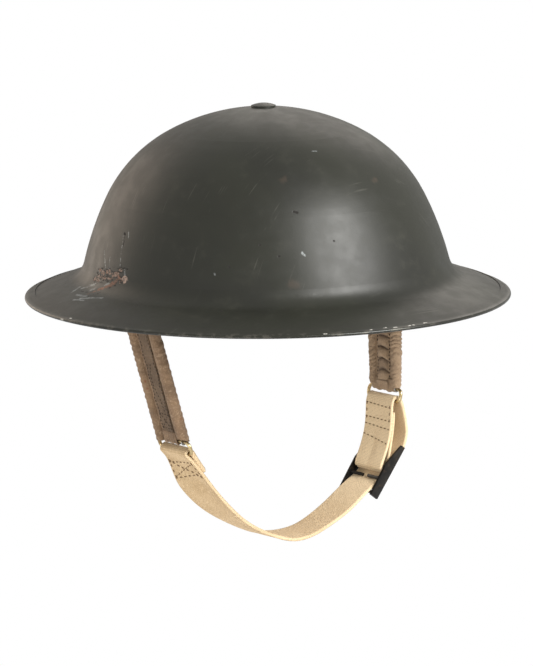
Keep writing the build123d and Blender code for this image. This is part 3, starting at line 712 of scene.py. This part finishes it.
rubber, tree = new_material("old_rubber")
bloom = tree.cloudy(70.0, 6.0, 0.65)
cells = tree.cloudy(1400.0, 3.0, 0.6)
colour = tree.blend(tree.between(bloom, 0.40, 0.70), (0.026, 0.024, 0.022, 1.0), (0.085, 0.074, 0.060, 1.0))
colour = tree.blend(tree.between(cells, 0.56, 0.70, 0.0, 0.5), colour, (0.012, 0.011, 0.010, 1.0))
tree.finish(colour, tree.between(bloom, 0.3, 0.7, 0.55, 0.80), (0.5, 0.0003, cells))
for name, node, cell in (("crown_pad_rubber", "crown_pad", 0.0012), ("buffer_blocks", "rubber_buffers", 0.0009)):
    moulded = coat(softened(name, node, cell), rubber)
    placed_in(moulded, "helmet", "liner_rubber", node)


# Strap lugs: on each side a rivet, a collar and a turning steel clip, its lip curled
# round the upper bar of a wire bail. The rivet's flush head is under the paint outside.
steel_bright = (0.30, 0.29, 0.27, 1.0)
steel_aged = (0.13, 0.085, 0.055, 1.0)
lug_steel = old_metal("lug_steel", steel_bright, steel_aged, 0.30, 0.52)
dress(["lug_spacers", "left_lug_clip", "right_lug_clip", "left_bail", "right_bail"], lug_steel)
rivet_paint, tree = new_material("painted_rivet")
leftward = tree.parts(tree.place)[0]
outside = tree.between(tree.maths("ABSOLUTE", leftward), 0.1072, 0.1077)
right_only = tree.between(leftward, -0.01, 0.01, 1.0, 0.0)
patches = tree.cloudy(300.0, 5.0, 0.65)
metal_colour = tree.blend(tree.between(patches, 0.4, 0.65), steel_bright, steel_aged)
paint_colour = tree.blend(tree.between(patches, 0.44, 0.60), rust_pink, olive)
paint_colour = tree.blend(right_only, olive, paint_colour)
tree.finish(
    tree.blend(outside, metal_colour, paint_colour), tree.between(patches, 0.3, 0.7, 0.36, 0.55),
    Metallic=tree.less(1.0, outside),
)
dress(["lug_rivets"], rivet_paint)


# Springs: two close-wound springs of steel wire in each side piece, with a round eye at
# both ends, hooked over the bail above and the ring below.
front_to_back = Vector((0.0, 1.0, 0.0))
bail_bar_radius = 0.0012
ring_bar_radius = 0.0011
tube_half_spacing = 0.0104
coil_radius = 0.0017
coil_pitch = 0.00102
coil_inset = 0.0056
wire_radius = 0.0005
wire_sides = 6
eye_clearance = 0.00008
eye_turn = 1.6 * pi
top_eye_start = -0.75 * pi
low_eye_start = 0.3
eye_steps = 14
steps_per_coil = 14


class Side:
    """One side of the strap, from the bail's lower bar to the ring's upper bar."""

    def __init__(self, name, top, end, gathered):
        self.name = name
        self.gathered = gathered
        self.top = Vector(top)
        self.end = Vector(end)
        self.down = (self.end - self.top).normalized()
        self.length = (self.end - self.top).length
        self.sign = 1.0 if name == "left" else -1.0
        self.outer = self.down.cross(front_to_back) * self.sign

    def at(self, across, out, fallen):
        """A place by how far it is backwards, outwards and down from the bail."""
        return self.top + front_to_back * across + self.outer * out + self.down * fallen

    def line(self, places):
        """A rounded line in the XZ plane through places out and down."""
        route = [self.at(0.0, out, fallen) for out, fallen in places]
        return rounded_line([(place.x * 1000, place.z * 1000) for place in route], 0.0006, 3)

    def takes(self, piece, slot, *nodes):
        """Sets a piece between the two ends of this side, in place of CAD nodes."""
        if nodes:
            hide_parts(*nodes)
        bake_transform(piece)


right_side = Side("right", (-0.0995746, 0, -0.0974730), (-0.0755746, 0, -0.1794910), gathered=False)
left_side = Side("left", (0.0973746, 0, -0.0970910), (0.0971746, 0, -0.1726910), gathered=True)


def wire_along(name, points):
    """The springs' round wire along a line of points, with closed ends."""
    line = np.array(points, dtype=float)
    heading = np.gradient(line, axis=0)
    heading /= np.linalg.norm(heading, axis=1)[:, None]
    across = np.cross(heading[0], (0.3, 0.5, 0.8))
    turns = [2 * pi * n / wire_sides for n in range(wire_sides)]
    sections = []
    for place, ahead in zip(line, heading):
        across = across - ahead * np.dot(across, ahead)
        across /= np.linalg.norm(across)
        other = np.cross(ahead, across)
        sections.append([place + wire_radius * (cos(turn) * across + sin(turn) * other) for turn in turns])
    return lofted(name, sections, capped=True)


def spring_line(side, middle):
    """The middle of a spring's wire: an eye, the coils and an eye."""
    top_eye = bail_bar_radius + eye_clearance + wire_radius
    low_eye = ring_bar_radius + eye_clearance + wire_radius
    points = []
    for n in range(eye_steps + 1):
        turn = top_eye_start + eye_turn * n / eye_steps
        points.append(side.at(middle, side.sign * top_eye * sin(turn), -top_eye * cos(turn)))
    run = side.length - 2 * coil_inset
    steps = int(run / coil_pitch) * steps_per_coil
    for n in range(steps + 1):
        turn = 2 * pi * n / steps_per_coil
        forth, out = coil_radius * sin(turn), side.sign * coil_radius * cos(turn)
        points.append(side.at(middle + forth, out, coil_inset + run * n / steps))
    for n in range(eye_steps + 1):
        turn = low_eye_start + eye_turn * n / eye_steps
        points.append(side.at(middle, side.sign * low_eye * sin(turn), side.length - low_eye * cos(turn)))
    return points


spring_steel = old_metal("spring_steel", (0.34, 0.33, 0.31, 1.0), (0.16, 0.11, 0.075, 1.0), 0.30, 0.50, 500.0)
for side in (right_side, left_side):
    wound = [wire_along("wire", spring_line(side, middle)) for middle in (-tube_half_spacing, tube_half_spacing)]
    springs = coat(joined(side.name + "_wound_springs", wound), spring_steel)
    side.takes(springs, "spring_steel", side.name + "_springs")


# Side covers: brown cotton sewn into two open tubes with a flat web between, a tape down
# the web that loops round bail and ring. The wearer's right one is pulled smooth.
weave_group, tree, given = new_group("weave", ["UV"], [("Warp", 0.0006), ("Weft", 0.0006)])
wobble = tree.times(tree.less(tree.cloudy(300.0, 2.0), 0.5), 1.6)
u, v, _ = tree.parts(given["UV"])
across = tree.maths("SINE", tree.times_plus(tree.maths("DIVIDE", u, given["Warp"]), pi, wobble))
along = tree.maths("SINE", tree.times_plus(tree.maths("DIVIDE", v, given["Weft"]), pi, wobble))
thread = tree.maths("MINIMUM", tree.maths("ABSOLUTE", across), tree.maths("ABSOLUTE", along))
over = tree.between(tree.times(across, along), -0.5, 0.5)
close_group(
    tree, Height=tree.times_plus(over, 0.5, tree.times(thread, 0.5)),
    Gaps=tree.between(thread, 0.05, 0.45, 1.0, 0.0),
)


def woven(name, colours, warp, weft, gap_and_crease_shade_colour, gap_share, rust_and_crease_shade=None, edge=None, streak=None, painted_light_side=None):
    """Cloth with its threads on the piece's own UVs, soiled and rubbed in patches. The
    rust argument is a table of marks and their colour; it also turns on painted shade,
    the cloth darkened by each point's crease depth. The edge is a width between paler
    selvedges, and the pale-side argument is the place from which the cloth is painted
    paler towards the wearer's left, and how much: painted light on the side the lamps light less."""
    plain, dark, light = colours
    made, tree = new_material(name)
    uv = tree.add("ShaderNodeUVMap", {"uv_map": "metres"}).outputs[0]
    threads = tree.use(weave_group, UV=uv, Warp=warp, Weft=weft)
    broad = tree.cloudy(60.0, 4.0, 0.6)
    fuzz = tree.cloudy(900.0, 4.0, 0.7)
    worn = tree.cloudy(240.0, 5.0, 0.65)
    colour = tree.blend(tree.between(broad, 0.36, 0.66), plain, dark)
    colour = tree.blend(tree.between(worn, 0.52, 0.74, 0.0, 0.6), colour, light)
    if edge:
        beside = tree.maths("ABSOLUTE", tree.maths("SINE", tree.times(tree.parts(uv)[0], pi / edge)))
        colour = tree.blend(tree.between(beside, 0.04, 0.22, 0.65, 0.0), colour, light)
    if streak:
        drawn = tree.cloudy(160.0, 4.0, 0.6, (5.0, 0.25, 1.0), uv)
        colour = tree.blend(tree.between(drawn, 0.42, 0.70, 0.0, 0.70), colour, streak)
    # Painted light: paler towards the wearer's left, on the side the lamps light less.
    if painted_light_side:
        start, most = painted_light_side
        painted_light_share = tree.between(tree.parts(tree.place)[0], start, start + 0.05, 0.0, most)
        colour = tree.blend(painted_light_share, colour, light)
    colour = tree.blend(tree.times(threads["Gaps"], gap_share), colour, gap_and_crease_shade_colour)
    colour = tree.blend(tree.between(fuzz, 0.52, 0.70, 0.0, 0.55), colour, light)
    colour = tree.blend(tree.between(fuzz, 0.34, 0.46, 0.55, 0.0), colour, dark)
    if rust_and_crease_shade:
        table, rust_colour = rust_and_crease_shade
        colour = tree.blend(tree.times(marks(tree, table, 0.5, 0.5), 0.7), colour, rust_colour)
        # Painted shade: darker by each point's crease depth, in the gathers, between the tubes and inside them.
        crease_shade = tree.add("ShaderNodeAttribute", {"attribute_name": "painted_crease_shade"}).outputs["Fac"]
        colour = tree.blend(tree.between(crease_shade, 0.25, 0.85, 0.0, 0.80), colour, gap_and_crease_shade_colour)
    tree.finish(
        colour, tree.between(fuzz, 0.3, 0.7, 0.80, 0.95),
        (0.75, 0.00035, tree.times_plus(fuzz, 0.8, threads["Height"])), Sheen_Weight=0.08, Sheen_Roughness=0.5,
    )
    return made


cover_rust = [
    ((-89.5, 8.0, -143.4), (-89.5, 8.0, -143.4), 1.0),
    ((-88.3, 7.8, -148.0), (-88.3, 7.8, -148.0), 1.1),
    ((-83.6, 6.7, -163.0), (-83.6, 6.7, -163.0), 0.9),
    ((-80.1, -13.6, -164.0), (-80.1, -13.6, -164.0), 1.0),
    ((-78.4, 11.2, -176.6), (-78.4, 11.2, -176.6), 1.1),
]
# The cover cloth carries painted shade in its creases, between its tubes and inside them.
cover_cloth = woven(
    "cover_cloth", ((0.300, 0.192, 0.112, 1.0), (0.170, 0.104, 0.058, 1.0), (0.500, 0.365, 0.240, 1.0)),
    0.00042, 0.00042, (0.060, 0.036, 0.022, 1.0), 0.5, rust_and_crease_shade=(cover_rust, (0.20, 0.070, 0.030, 1.0)),
    # Painted light: this cover is paler towards the wearer's left, on the side the lamps light less.
    painted_light_side=(0.035, 0.50),
)
tape_cloth = woven(
    "cover_tape", ((0.165, 0.105, 0.060, 1.0), (0.095, 0.060, 0.034, 1.0), (0.300, 0.212, 0.132, 1.0)),
    0.00036, 0.00060, (0.070, 0.042, 0.026, 1.0), 0.6,
)


def rounded_line(points, step=0.0008, rounds=4):
    """An even line of points in the XZ plane with the corners of a route cut round."""
    line = np.array(points, dtype=float) / 1000
    for _ in range(rounds):
        near = line[:-1] * 0.75 + line[1:] * 0.25
        far = line[:-1] * 0.25 + line[1:] * 0.75
        inner = np.stack([near, far], axis=1).reshape(-1, 2)
        line = np.vstack([line[:1], inner, line[-1:]])
    gone = distances(line)
    count = max(8, int(gone[-1] / step))
    even = np.linspace(0.0, gone[-1], count)
    return np.stack([np.interp(even, gone, line[:, 0]), np.interp(even, gone, line[:, 1])], axis=1)


class Band:
    """A flat band that follows a line in the XZ plane, as wide as it says along Y."""

    def __init__(self, line, width, shape=None):
        self.line = line
        self.width = width
        self.gone = distances(line)
        heading = np.gradient(line, axis=0)
        self.heading = heading / np.linalg.norm(heading, axis=1)[:, None]
        self.shape = shape or (lambda gone, across: 0.0)

    def at(self, gone, across, lift):
        """A place by its distance along, its share across and its height off the middle."""
        x, z, ahead_x, ahead_z = (np.interp(gone, self.gone, values) for values in (*self.line.T, *self.heading.T))
        out = lift + self.shape(gone, across)
        return (x + ahead_z * out, across * self.width / 2, z - ahead_x * out)

    def reached(self, x, z, after=0.0):
        """Distance along at which the band is nearest to a place."""
        apart = np.hypot(self.line[:, 0] - x / 1000, self.line[:, 1] - z / 1000)
        apart[self.gone < after] = 9.0
        return float(self.gone[int(np.argmin(apart))])

    def woven_piece(self, name, thickness, edge, points_across=26):
        """The band's mesh, its selvedges thicker by an edge and its ends thinner."""
        sections = []
        for gone in self.gone:
            finish = min(1.0, 0.45 + 0.55 * min(gone, self.gone[-1] - gone) / 0.0012)
            upper = []
            lower = []
            for across in np.linspace(-1.0, 1.0, points_across):
                beside = max(0.0, (abs(across) - 0.86) / 0.14)
                half = thickness / 2 * finish + edge * sin(pi * min(1.0, beside * 1.15))
                half *= (1.0 - beside**4) ** 0.5 if beside < 1.0 else 0.0
                upper.append(self.at(gone, across, half))
                lower.append(self.at(gone, across, -half))
            sections.append(upper + lower[-2:0:-1])
        return lofted(name, sections, capped=True)


def stitch_tree():
    """Geometry Nodes tree: a thread bead every pitch along each line of its mesh."""
    group = bpy.data.node_groups.new("stitches", "GeometryNodeTree")
    group.interface.new_socket("Geometry", in_out="INPUT", socket_type="NodeSocketGeometry")
    for label, usual in (("Pitch", 0.0022), ("Thread", 0.00035), ("Bead", 0.0017)):
        group.interface.new_socket(label, in_out="INPUT", socket_type="NodeSocketFloat").default_value = usual
    group.interface.new_socket("Material", in_out="INPUT", socket_type="NodeSocketMaterial")
    group.interface.new_socket("Geometry", in_out="OUTPUT", socket_type="NodeSocketGeometry")
    tree = Nodes(group)
    given = tree.add("NodeGroupInput").outputs
    lines = tree.add("GeometryNodeMeshToCurve", Mesh=given["Geometry"]).outputs[0]
    beads = tree.add("GeometryNodeCurveToPoints", {"mode": "LENGTH"}, Curve=lines, Length=given["Pitch"]).outputs
    bead = tree.add("GeometryNodeMeshUVSphere", Segments=6, Rings=5, Radius=0.5).outputs["Mesh"]
    size = tree.add("ShaderNodeCombineXYZ", X=given["Thread"], Y=given["Thread"], Z=given["Bead"]).outputs[0]
    placed = tree.add(
        "GeometryNodeInstanceOnPoints", Points=beads["Points"], Instance=bead, Rotation=beads["Rotation"], Scale=size
    ).outputs[0]
    real = tree.add("GeometryNodeRealizeInstances", Geometry=placed).outputs[0]
    smooth = tree.add("GeometryNodeSetShadeSmooth", Geometry=real).outputs[0]
    finished = tree.add("GeometryNodeSetMaterial", Geometry=smooth, Material=given["Material"]).outputs[0]
    tree.add("NodeGroupOutput", Geometry=finished)
    return group


stitches_tree = stitch_tree()


def stitched(name, lines, material, pitch, thread, bead):
    """Rows of stitches along lines of points, as one plain mesh."""
    mesh = bpy.data.meshes.new(name)
    points = []
    edges = []
    for line in lines:
        first = len(points)
        points += [tuple(place) for place in line]
        edges += [(first + n, first + n + 1) for n in range(len(line) - 1)]
    mesh.from_pydata(points, edges, [])
    piece = new_piece(name, mesh)
    rows = piece.modifiers.new("rows", "NODES")
    rows.node_group = stitches_tree
    values = {"Pitch": pitch, "Thread": thread, "Bead": bead, "Material": material}
    for item in stitches_tree.interface.items_tree:
        if item.in_out == "INPUT" and item.name in values:
            rows[item.identifier] = values[item.name]
    return settled(piece)


def thread_material(name, colour, dark):
    """Sewing thread, darker between its turns."""
    made, tree = new_material(name)
    twist = tree.cloudy(2500.0, 2.0, 0.5)
    tree.finish(
        tree.blend(tree.between(twist, 0.35, 0.65), colour, dark), tree.between(twist, 0.3, 0.7, 0.7, 0.9)
    )
    return made


dark_thread = thread_material("dark_thread", (0.055, 0.034, 0.022, 1.0), (0.028, 0.018, 0.012, 1.0))
pale_thread = thread_material("tan_thread", (0.230, 0.145, 0.075, 1.0), (0.130, 0.080, 0.040, 1.0))

tube_radius = 0.0036
tube_bore = 0.0025
tube_sides = 40
gathered_rows = 210
smooth_rows = 130
hem_reach = 0.0016
slant_depth = 0.0022
web_half_thickness = 0.0010
web_points = 24
pillow_half_width = 0.0050
cover_end_gap = 0.0034
puff_count = 9
tape_width = 0.0100
bail_turn = 0.00175
ring_turn = 0.00165
hem_width = 0.0218
narrow_hem_width = 0.0128


def folds(seed, count, low, high):
    """A few seeded waves round and along a tube, as a function of turn and share."""
    dice = np.random.default_rng(seed)
    parts = [
        (dice.integers(1, 5), dice.uniform(low, high), dice.uniform(0, 2 * pi), dice.uniform(0, 2 * pi))
        for _ in range(count)
    ]

    def wave(turn, share):
        return sum(
            sin(around * turn + start) * sin(2 * pi * along * share + later) for around, along, start, later in parts
        ) / count

    return wave


def keep_crease_shade(piece, crease_shade_depths):
    """Keeps how deep in a crease each point lies, for the shade painted into the cloth's colour."""
    layer = piece.data.attributes.new("painted_crease_shade", "FLOAT", "POINT")
    layer.data.foreach_set("value", np.array(crease_shade_depths, dtype=float).ravel())
    return piece


def puff(share, seed_shift):
    """Fullness of the gathered cloth, 0 at a line of gathers and 1 at a crest."""
    phase = share * puff_count
    return abs(sin(pi * phase)) ** 0.45 * (0.78 + 0.22 * sin(int(phase) * 2.3 + seed_shift))


def cover_tube(side, tube, middle):
    """An open tube of the cover, front or back, its skin turned in at both ends."""
    start = 0.0002
    run = side.length + (-0.0010 if side.gathered else 0.0010) - start
    rows = gathered_rows if side.gathered else smooth_rows
    wave = folds(11 + tube + (5 if side.gathered else 0), 9, 5.0, 26.0)
    turns = [2 * pi * n / tube_sides for n in range(tube_sides)]

    def ring(share, skin):
        """One ring of points, its lower end slanted on the smooth front tube."""
        slant = 0.0 if tube or side.gathered else slant_depth * share**22
        return [
            tuple(side.at(
                middle + radius * cos(turn), radius * sin(turn), start + run * share - slant * (1.0 + sin(turn))
            ))
            for turn, radius in zip(turns, skin)
        ]

    def gathered_skin(share, turn, hem):
        """The radius, and how deep the place lies in a crease, for painted shade."""
        drawn = share * puff_count * 2.3 + 0.35 * sin(2 * turn + tube) + 0.5 * sin(share * 21.0 + tube * 2)
        ridge = abs(sin(pi * drawn)) ** 0.5
        full = puff(share + 0.006 * sin(turn + tube), tube * 1.7)
        radius = tube_radius - 0.0012 + 0.0005 * full + 0.0015 * ridge * (1.0 - 0.75 * share * share)
        return radius + 0.00040 * wave(turn, share) - 0.0005 * hem, (1.0 - ridge) * (1.0 - 0.6 * share)

    def smooth_skin(share, turn, hem):
        """The radius, rippled along the outer seam and most of all near the top."""
        rim_side = max(0.0, cos(turn - (0.0 if tube else pi)))
        reach = (0.00060, 0.00015)[tube] * max(0.0, 1.0 - share / 0.45) + 0.00008
        ripple = sin(2 * pi * share * 15.0 + 3.0 * sin(share * 19.0) + tube)
        return tube_radius + 0.00060 * wave(turn, share) + rim_side * reach * ripple, 0.0

    sections = []
    crease_shade_depths = []
    for row in range(rows + 1):
        share = row / rows
        hem = max(0.0, 1.0 - min(share, 1.0 - share) * run / hem_reach)
        skin = [(gathered_skin if side.gathered else smooth_skin)(share, turn, hem) for turn in turns]
        sections.append(ring(share, [radius + 0.00022 * hem for radius, _ in skin]))
        crease_shade_depths.append([depth for _, depth in skin])
    # The skin turned in at both ends, set deep in crease for painted shade inside the tube.
    for row in range(rows, -1, -6):
        sections.append(ring(row / rows, [tube_bore] * tube_sides))
        crease_shade_depths.append([0.9] * tube_sides)
    return keep_crease_shade(lofted("tube", sections, close_along=True), crease_shade_depths)


def cover_web(side):
    """The web between the tubes: flat, or pillowed between the lines of its gathers."""
    rows = gathered_rows if side.gathered else smooth_rows
    start = cover_end_gap + 0.0006
    run = side.length - 2 * start
    wave = folds(31 if side.gathered else 37, 8, 3.0, 16.0)
    sections = []
    crease_shade_depths = []
    for row in range(rows + 1):
        share = row / rows
        section = []
        depth = []
        for face in (1, -1):
            for n in range(web_points + 1):
                across = tube_half_spacing * (-1 + 2 * n / web_points) * face
                out = web_half_thickness + 0.00022 * wave(across * 400 + face, share)
                # How deep in shade each point lies, for painted shade: a little all over the smooth web, and in the
                # lines of gathers on the gathered one.
                crease = 0.35
                if side.gathered:
                    beside = abs(across) / pillow_half_width
                    pillow = max(0.0, 1.0 - beside**2) ** 0.5
                    arch = share - 0.024 * min(1.0, beside) ** 2 + 0.006 * sin(across * 420 + share * 9.0)
                    full = puff(max(0.0, arch), 0.9)
                    out += 0.0034 * pillow * full + 0.0003 * wave(across * 900, share)
                    crease = max(0.0, 1.0 - full) * min(1.0, pillow * 2.0)
                depth.append(crease)
                section.append(tuple(side.at(across, out * face, start + run * share)))
        sections.append(section)
        crease_shade_depths.append(depth)
    return keep_crease_shade(lofted("web", sections, capped=True), crease_shade_depths)


def cover_tape(side):
    """The tape: from behind, round the bail, down the outer face and round the ring."""
    length = side.length
    flat = web_half_thickness + (0.00230 if side.gathered else 0.00025)
    overlap = 0.0048
    corner = 0.66

    def shape(gone, across):
        if side.gathered:
            return 0.00030 * sin(gone * 730.0) * (1.0 - 0.3 * across)
        return 0.00006 * sin(gone * 900.0 + across * 3)

    line = side.line([
        (-flat, overlap), (-flat, 0.0040), (-bail_turn, 0.0010), (-bail_turn, -bail_turn * corner),
        (0.0, -bail_turn * 1.25), (bail_turn, -bail_turn * corner), (bail_turn, 0.0010), (flat, 0.0040),
        (flat, length / 2), (flat, length - 0.0040), (ring_turn, length - 0.0010),
        (ring_turn, length + ring_turn * corner), (0.0, length + ring_turn * 1.25),
        (-ring_turn, length + ring_turn * corner), (-ring_turn, length - 0.0010), (-flat, length - 0.0040),
        (-flat, length - overlap),
    ])
    tape = Band(line, tape_width, shape)
    strip = tape.woven_piece(side.name + "_tape", 0.0007, 0.00008, 16)
    strip.data.materials.append(cover_cloth if side.gathered else tape_cloth)
    return tape, strip


def cover_hem(side, bar, turn_radius, inward, width):
    """The cover's end, turned round a bar and sewn down on both faces."""
    slack = 0.00035 if side.gathered else 0.00012
    half = [(turn_radius * 0.9, -turn_radius * 0.9), (turn_radius, 0.0), (0.0017, 0.0030), (0.0016, 0.0062)]
    places = [(-out, fallen) for out, fallen in reversed(half)] + [(0.0, -turn_radius * 1.2)] + half
    band = Band(
        side.line([(out, bar + inward * fallen) for out, fallen in places]), width,
        lambda gone, across: slack * sin(across * 7.0 + gone * 500.0) + slack * 0.7 * sin(across * 15.0 + 1.0),
    )
    return band.woven_piece("hem", 0.0009, 0.00010)


def cover_seams(side, tape):
    """Lines of stitches down both edges of the tape, beside the gathered web, and in a
    loop and a crossed box on the smooth one's tape."""
    middle = tape.gone[-1] / 2
    run = (side.length - 0.016) / 2
    lifted = tape.at(middle, 0, 0.001)[0] - tape.at(middle, 0, 0)[0]
    face = 0.00040 if lifted * side.sign > 0 else -0.00040
    lines = []
    for edge in (-0.84, 0.84):
        lines.append([
            tape.at(middle + g, edge + 0.10 * sin(g * 430.0 + edge) + 0.04 * sin(g * 1300.0), face)
            for g in np.linspace(-run, run, 90)
        ])
    if side.gathered:
        falls = np.linspace(cover_end_gap + 0.002, side.length - cover_end_gap - 0.002, 60)
        for across in (-0.0054, 0.0054):
            for out in (-web_half_thickness - 0.00035, web_half_thickness + 0.00035):
                lines.append([side.at(across + 0.00035 * sin(fallen * 600.0), out, fallen) for fallen in falls])
        return lines
    lines.append([
        tape.at(middle + g, 0.15 + 0.42 * sin(g * 170.0 + 1.0), face)
        for g in np.linspace(-0.2 * run, run - 0.012, 70)
    ])
    low = middle + run
    for a, b in ((-0.74, 0.74), (0.74, -0.74)):
        lines.append([tape.at(low - 0.0092 + 0.0088 * s, a + (b - a) * s, face) for s in np.linspace(0, 1, 8)])
    for back in (0.0, 0.0094):
        lines.append([tape.at(low - back, a, face) for a in np.linspace(-0.76, 0.76, 8)])
    return lines


for side in (right_side, left_side):
    parts = [cover_tube(side, 0, -tube_half_spacing), cover_tube(side, 1, tube_half_spacing), cover_web(side)]
    for part in parts:
        part.data.materials.append(cover_cloth)
    tape, strip = cover_tape(side)
    parts.append(strip)
    parts.append(coat(cover_hem(side, 0.0, bail_turn, 1.0, hem_width), cover_cloth))
    ring_hem_width = hem_width if side.gathered else narrow_hem_width
    parts.append(coat(cover_hem(side, side.length, ring_turn, -1.0, ring_hem_width), cover_cloth))
    side.takes(joined(side.name + "_cover_cloth", parts), "cover_cloth", side.name + "_side_cover")
    seams = stitched(
        side.name + "_cover_stitches", cover_seams(side, tape), dark_thread, pitch=0.0022, thread=0.00062, bead=0.0015
    )
    side.takes(seams, "cover_cloth")


# Rings: bent and closed rectangles of brass wire that join the covers to the webbing.
ring_brass = old_metal("ring_brass", (0.62, 0.49, 0.27, 1.0), (0.30, 0.21, 0.10, 1.0), 0.22, 0.38)
dress(["left_ring", "right_ring"], ring_brass)


# Chin webbing: inch-wide unbleached cotton webbing, sewn back round the right ring, led
# under the chin, up through the slide buckle and over the left ring to a sewn leaf.
webbing_width = 0.0254
webbing_thickness = 0.0018
main_route = [
    (-70.94, -185.59), (-72.33, -183.76), (-76.0, -186.54), (-74.61, -188.38), (-69.3, -193.01), (-42.33, -227.07),
    (-13.87, -248.42), (18.97, -257.57), (51.08, -246.13), (71.04, -233.59), (81.43, -228.94), (87.68, -223.64),
    (97.94, -216.55), (104.93, -204.52), (103.48, -192.54), (99.17, -177.58), (91.97, -177.58),
    (91.4, -196.0), (87.6, -209.0), (81.3, -221.2), (82.49, -223.09),
]
lap_route = [(-61.1, -199.9), (-67.3, -191.5), (-70.94, -185.59)]
back_route = [(82.49, -223.09), (84.64, -224.74), (87.94, -220.43), (90.0, -210.6), (92.9, -197.4), (93.7, -187.2)]


def swell(value, low, peak, high):
    """A smooth rise from low to peak and fall to high."""
    if value <= low or value >= high:
        return 0.0
    share = (value - low) / (peak - low) if value < peak else (high - value) / (high - peak)
    return share * share * (3 - 2 * share)


main_line = rounded_line(main_route)
plain_main = Band(main_line, webbing_width)
leaf_start = plain_main.reached(91.97, -177.58, 0.20)
leaf_end = plain_main.reached(81.3, -221.2, leaf_start)


def main_shape(gone, across):
    """The webbing's twist below the right ring, its crease in the leaf and its slack."""
    twist = 0.0044 * swell(gone, 0.008, 0.036, 0.100) * max(0.0, across + 0.35)
    crease_reach = swell(gone, leaf_start + 0.012, leaf_end - 0.010, leaf_end + 0.004)
    crease = -0.0011 * crease_reach * max(0.0, 1.0 - abs(across - 0.10) / 0.42)
    slack = 0.00035 * sin(gone * 130.0 + across * 1.4) * swell(gone, 0.030, 0.120, 0.215)
    return twist + crease + slack


webbing = Band(main_line, webbing_width, main_shape)
lap = Band(rounded_line(lap_route), webbing_width * 0.985)
lower_end = Band(rounded_line(back_route), webbing_width * 0.98)
cotton = woven(
    "cotton_webbing", ((0.640, 0.480, 0.290, 1.0), (0.510, 0.365, 0.200, 1.0), (0.830, 0.660, 0.430, 1.0)),
    0.00070, 0.00090, (0.330, 0.215, 0.110, 1.0), 0.75, edge=0.0262, streak=(0.53, 0.38, 0.21, 1.0),
    # Painted light: paler towards the wearer's left, up to its lightest colour on the leaf, on the side the lamps
    # light less.
    painted_light_side=(0.035, 1.0),
)
lengths = [
    webbing.woven_piece("main", webbing_thickness, 0.00024),
    lap.woven_piece("lap", webbing_thickness * 1.6, 0.00022),
    lower_end.woven_piece("back", webbing_thickness * 0.94, 0.00022),
]
for part in lengths:
    part.data.materials.append(cotton)
placed_in(joined("cotton_chin_webbing", lengths), "chin", "webbing_cotton", "chin_webbing")

thread_lift = 0.5 * webbing_thickness + 0.00012
seam_side = 0.84


def row_of_thread(start, finish, count=16):
    """A row from one place on the webbing to another, each how far along and across."""
    return [
        webbing.at(start[0] + (finish[0] - start[0]) * s, start[1] + (finish[1] - start[1]) * s, thread_lift)
        for s in np.linspace(0, 1, count)
    ]


def row_across(gone, tilt):
    """A row from one selvedge to the other, tilted by so many metres at each."""
    return row_of_thread((gone - tilt * seam_side, -seam_side), (gone + tilt * seam_side, seam_side))


ring_place = webbing.reached(-69.3, -193.01)
box_top, box_foot = ring_place + 0.0004, ring_place + 0.0122
leaf_top, leaf_foot = leaf_start + 0.0052, leaf_start + 0.0140
thread_rows = [row_across(box_top, 0.0014), row_across(box_foot, 0.0014)]
thread_rows += [row_of_thread((box_top, across), (box_foot, across)) for across in (-seam_side, seam_side)]
thread_rows += [row_of_thread((box_top, across), (box_foot, -across)) for across in (-0.8, 0.8)]
for fallen, tilt in ((0.0052, 0.0006), (0.0140, 0.0004), (0.0190, 0.0008), (0.0270, 0.0022)):
    thread_rows.append(row_across(leaf_start + fallen, -tilt))
thread_rows += [row_of_thread((leaf_top, across), (leaf_foot, across)) for across in (-seam_side, seam_side)]
webbing_stitches = stitched(
    "webbing_stitches", thread_rows, pale_thread, pitch=0.0033, thread=0.00080, bead=0.0021
)
placed_in(webbing_stitches, "chin", "webbing_cotton")


# Slide buckle: stamped and bent from sheet steel and japanned black, worn brown along
# the outer edges of its cheeks.
buckle = copied("black_slide_buckle", "slide_buckle", radians(1.0))
buckle.data.polygons.foreach_set("use_smooth", [True] * len(buckle.data.polygons))
bevel = buckle.modifiers.new("edges", "BEVEL")
bevel.width = 0.00032
bevel.segments = 2
bevel.limit_method = "ANGLE"
bevel.angle_limit = radians(40.0)
bevel.harden_normals = True

japan, tree = new_material("black_japan")
chipped = tree.between(tree.cloudy(330.0, 5.0, 0.65), 0.56, 0.64)
dust = tree.cloudy(120.0, 5.0, 0.6)
colour = tree.blend(tree.between(dust, 0.4, 0.7), (0.006, 0.0055, 0.005, 1.0), (0.014, 0.012, 0.010, 1.0))
colour = tree.blend(tree.times(chipped, 0.30), colour, (0.085, 0.058, 0.040, 1.0))
tree.finish(
    colour, tree.between(dust, 0.3, 0.7, 0.30, 0.48), (0.3, 0.0001, dust),
    Metallic=tree.times(chipped, 0.3), Specular_IOR_Level=0.20,
)
placed_in(coat(buckle, japan), "chin", "buckle_black", "slide_buckle")
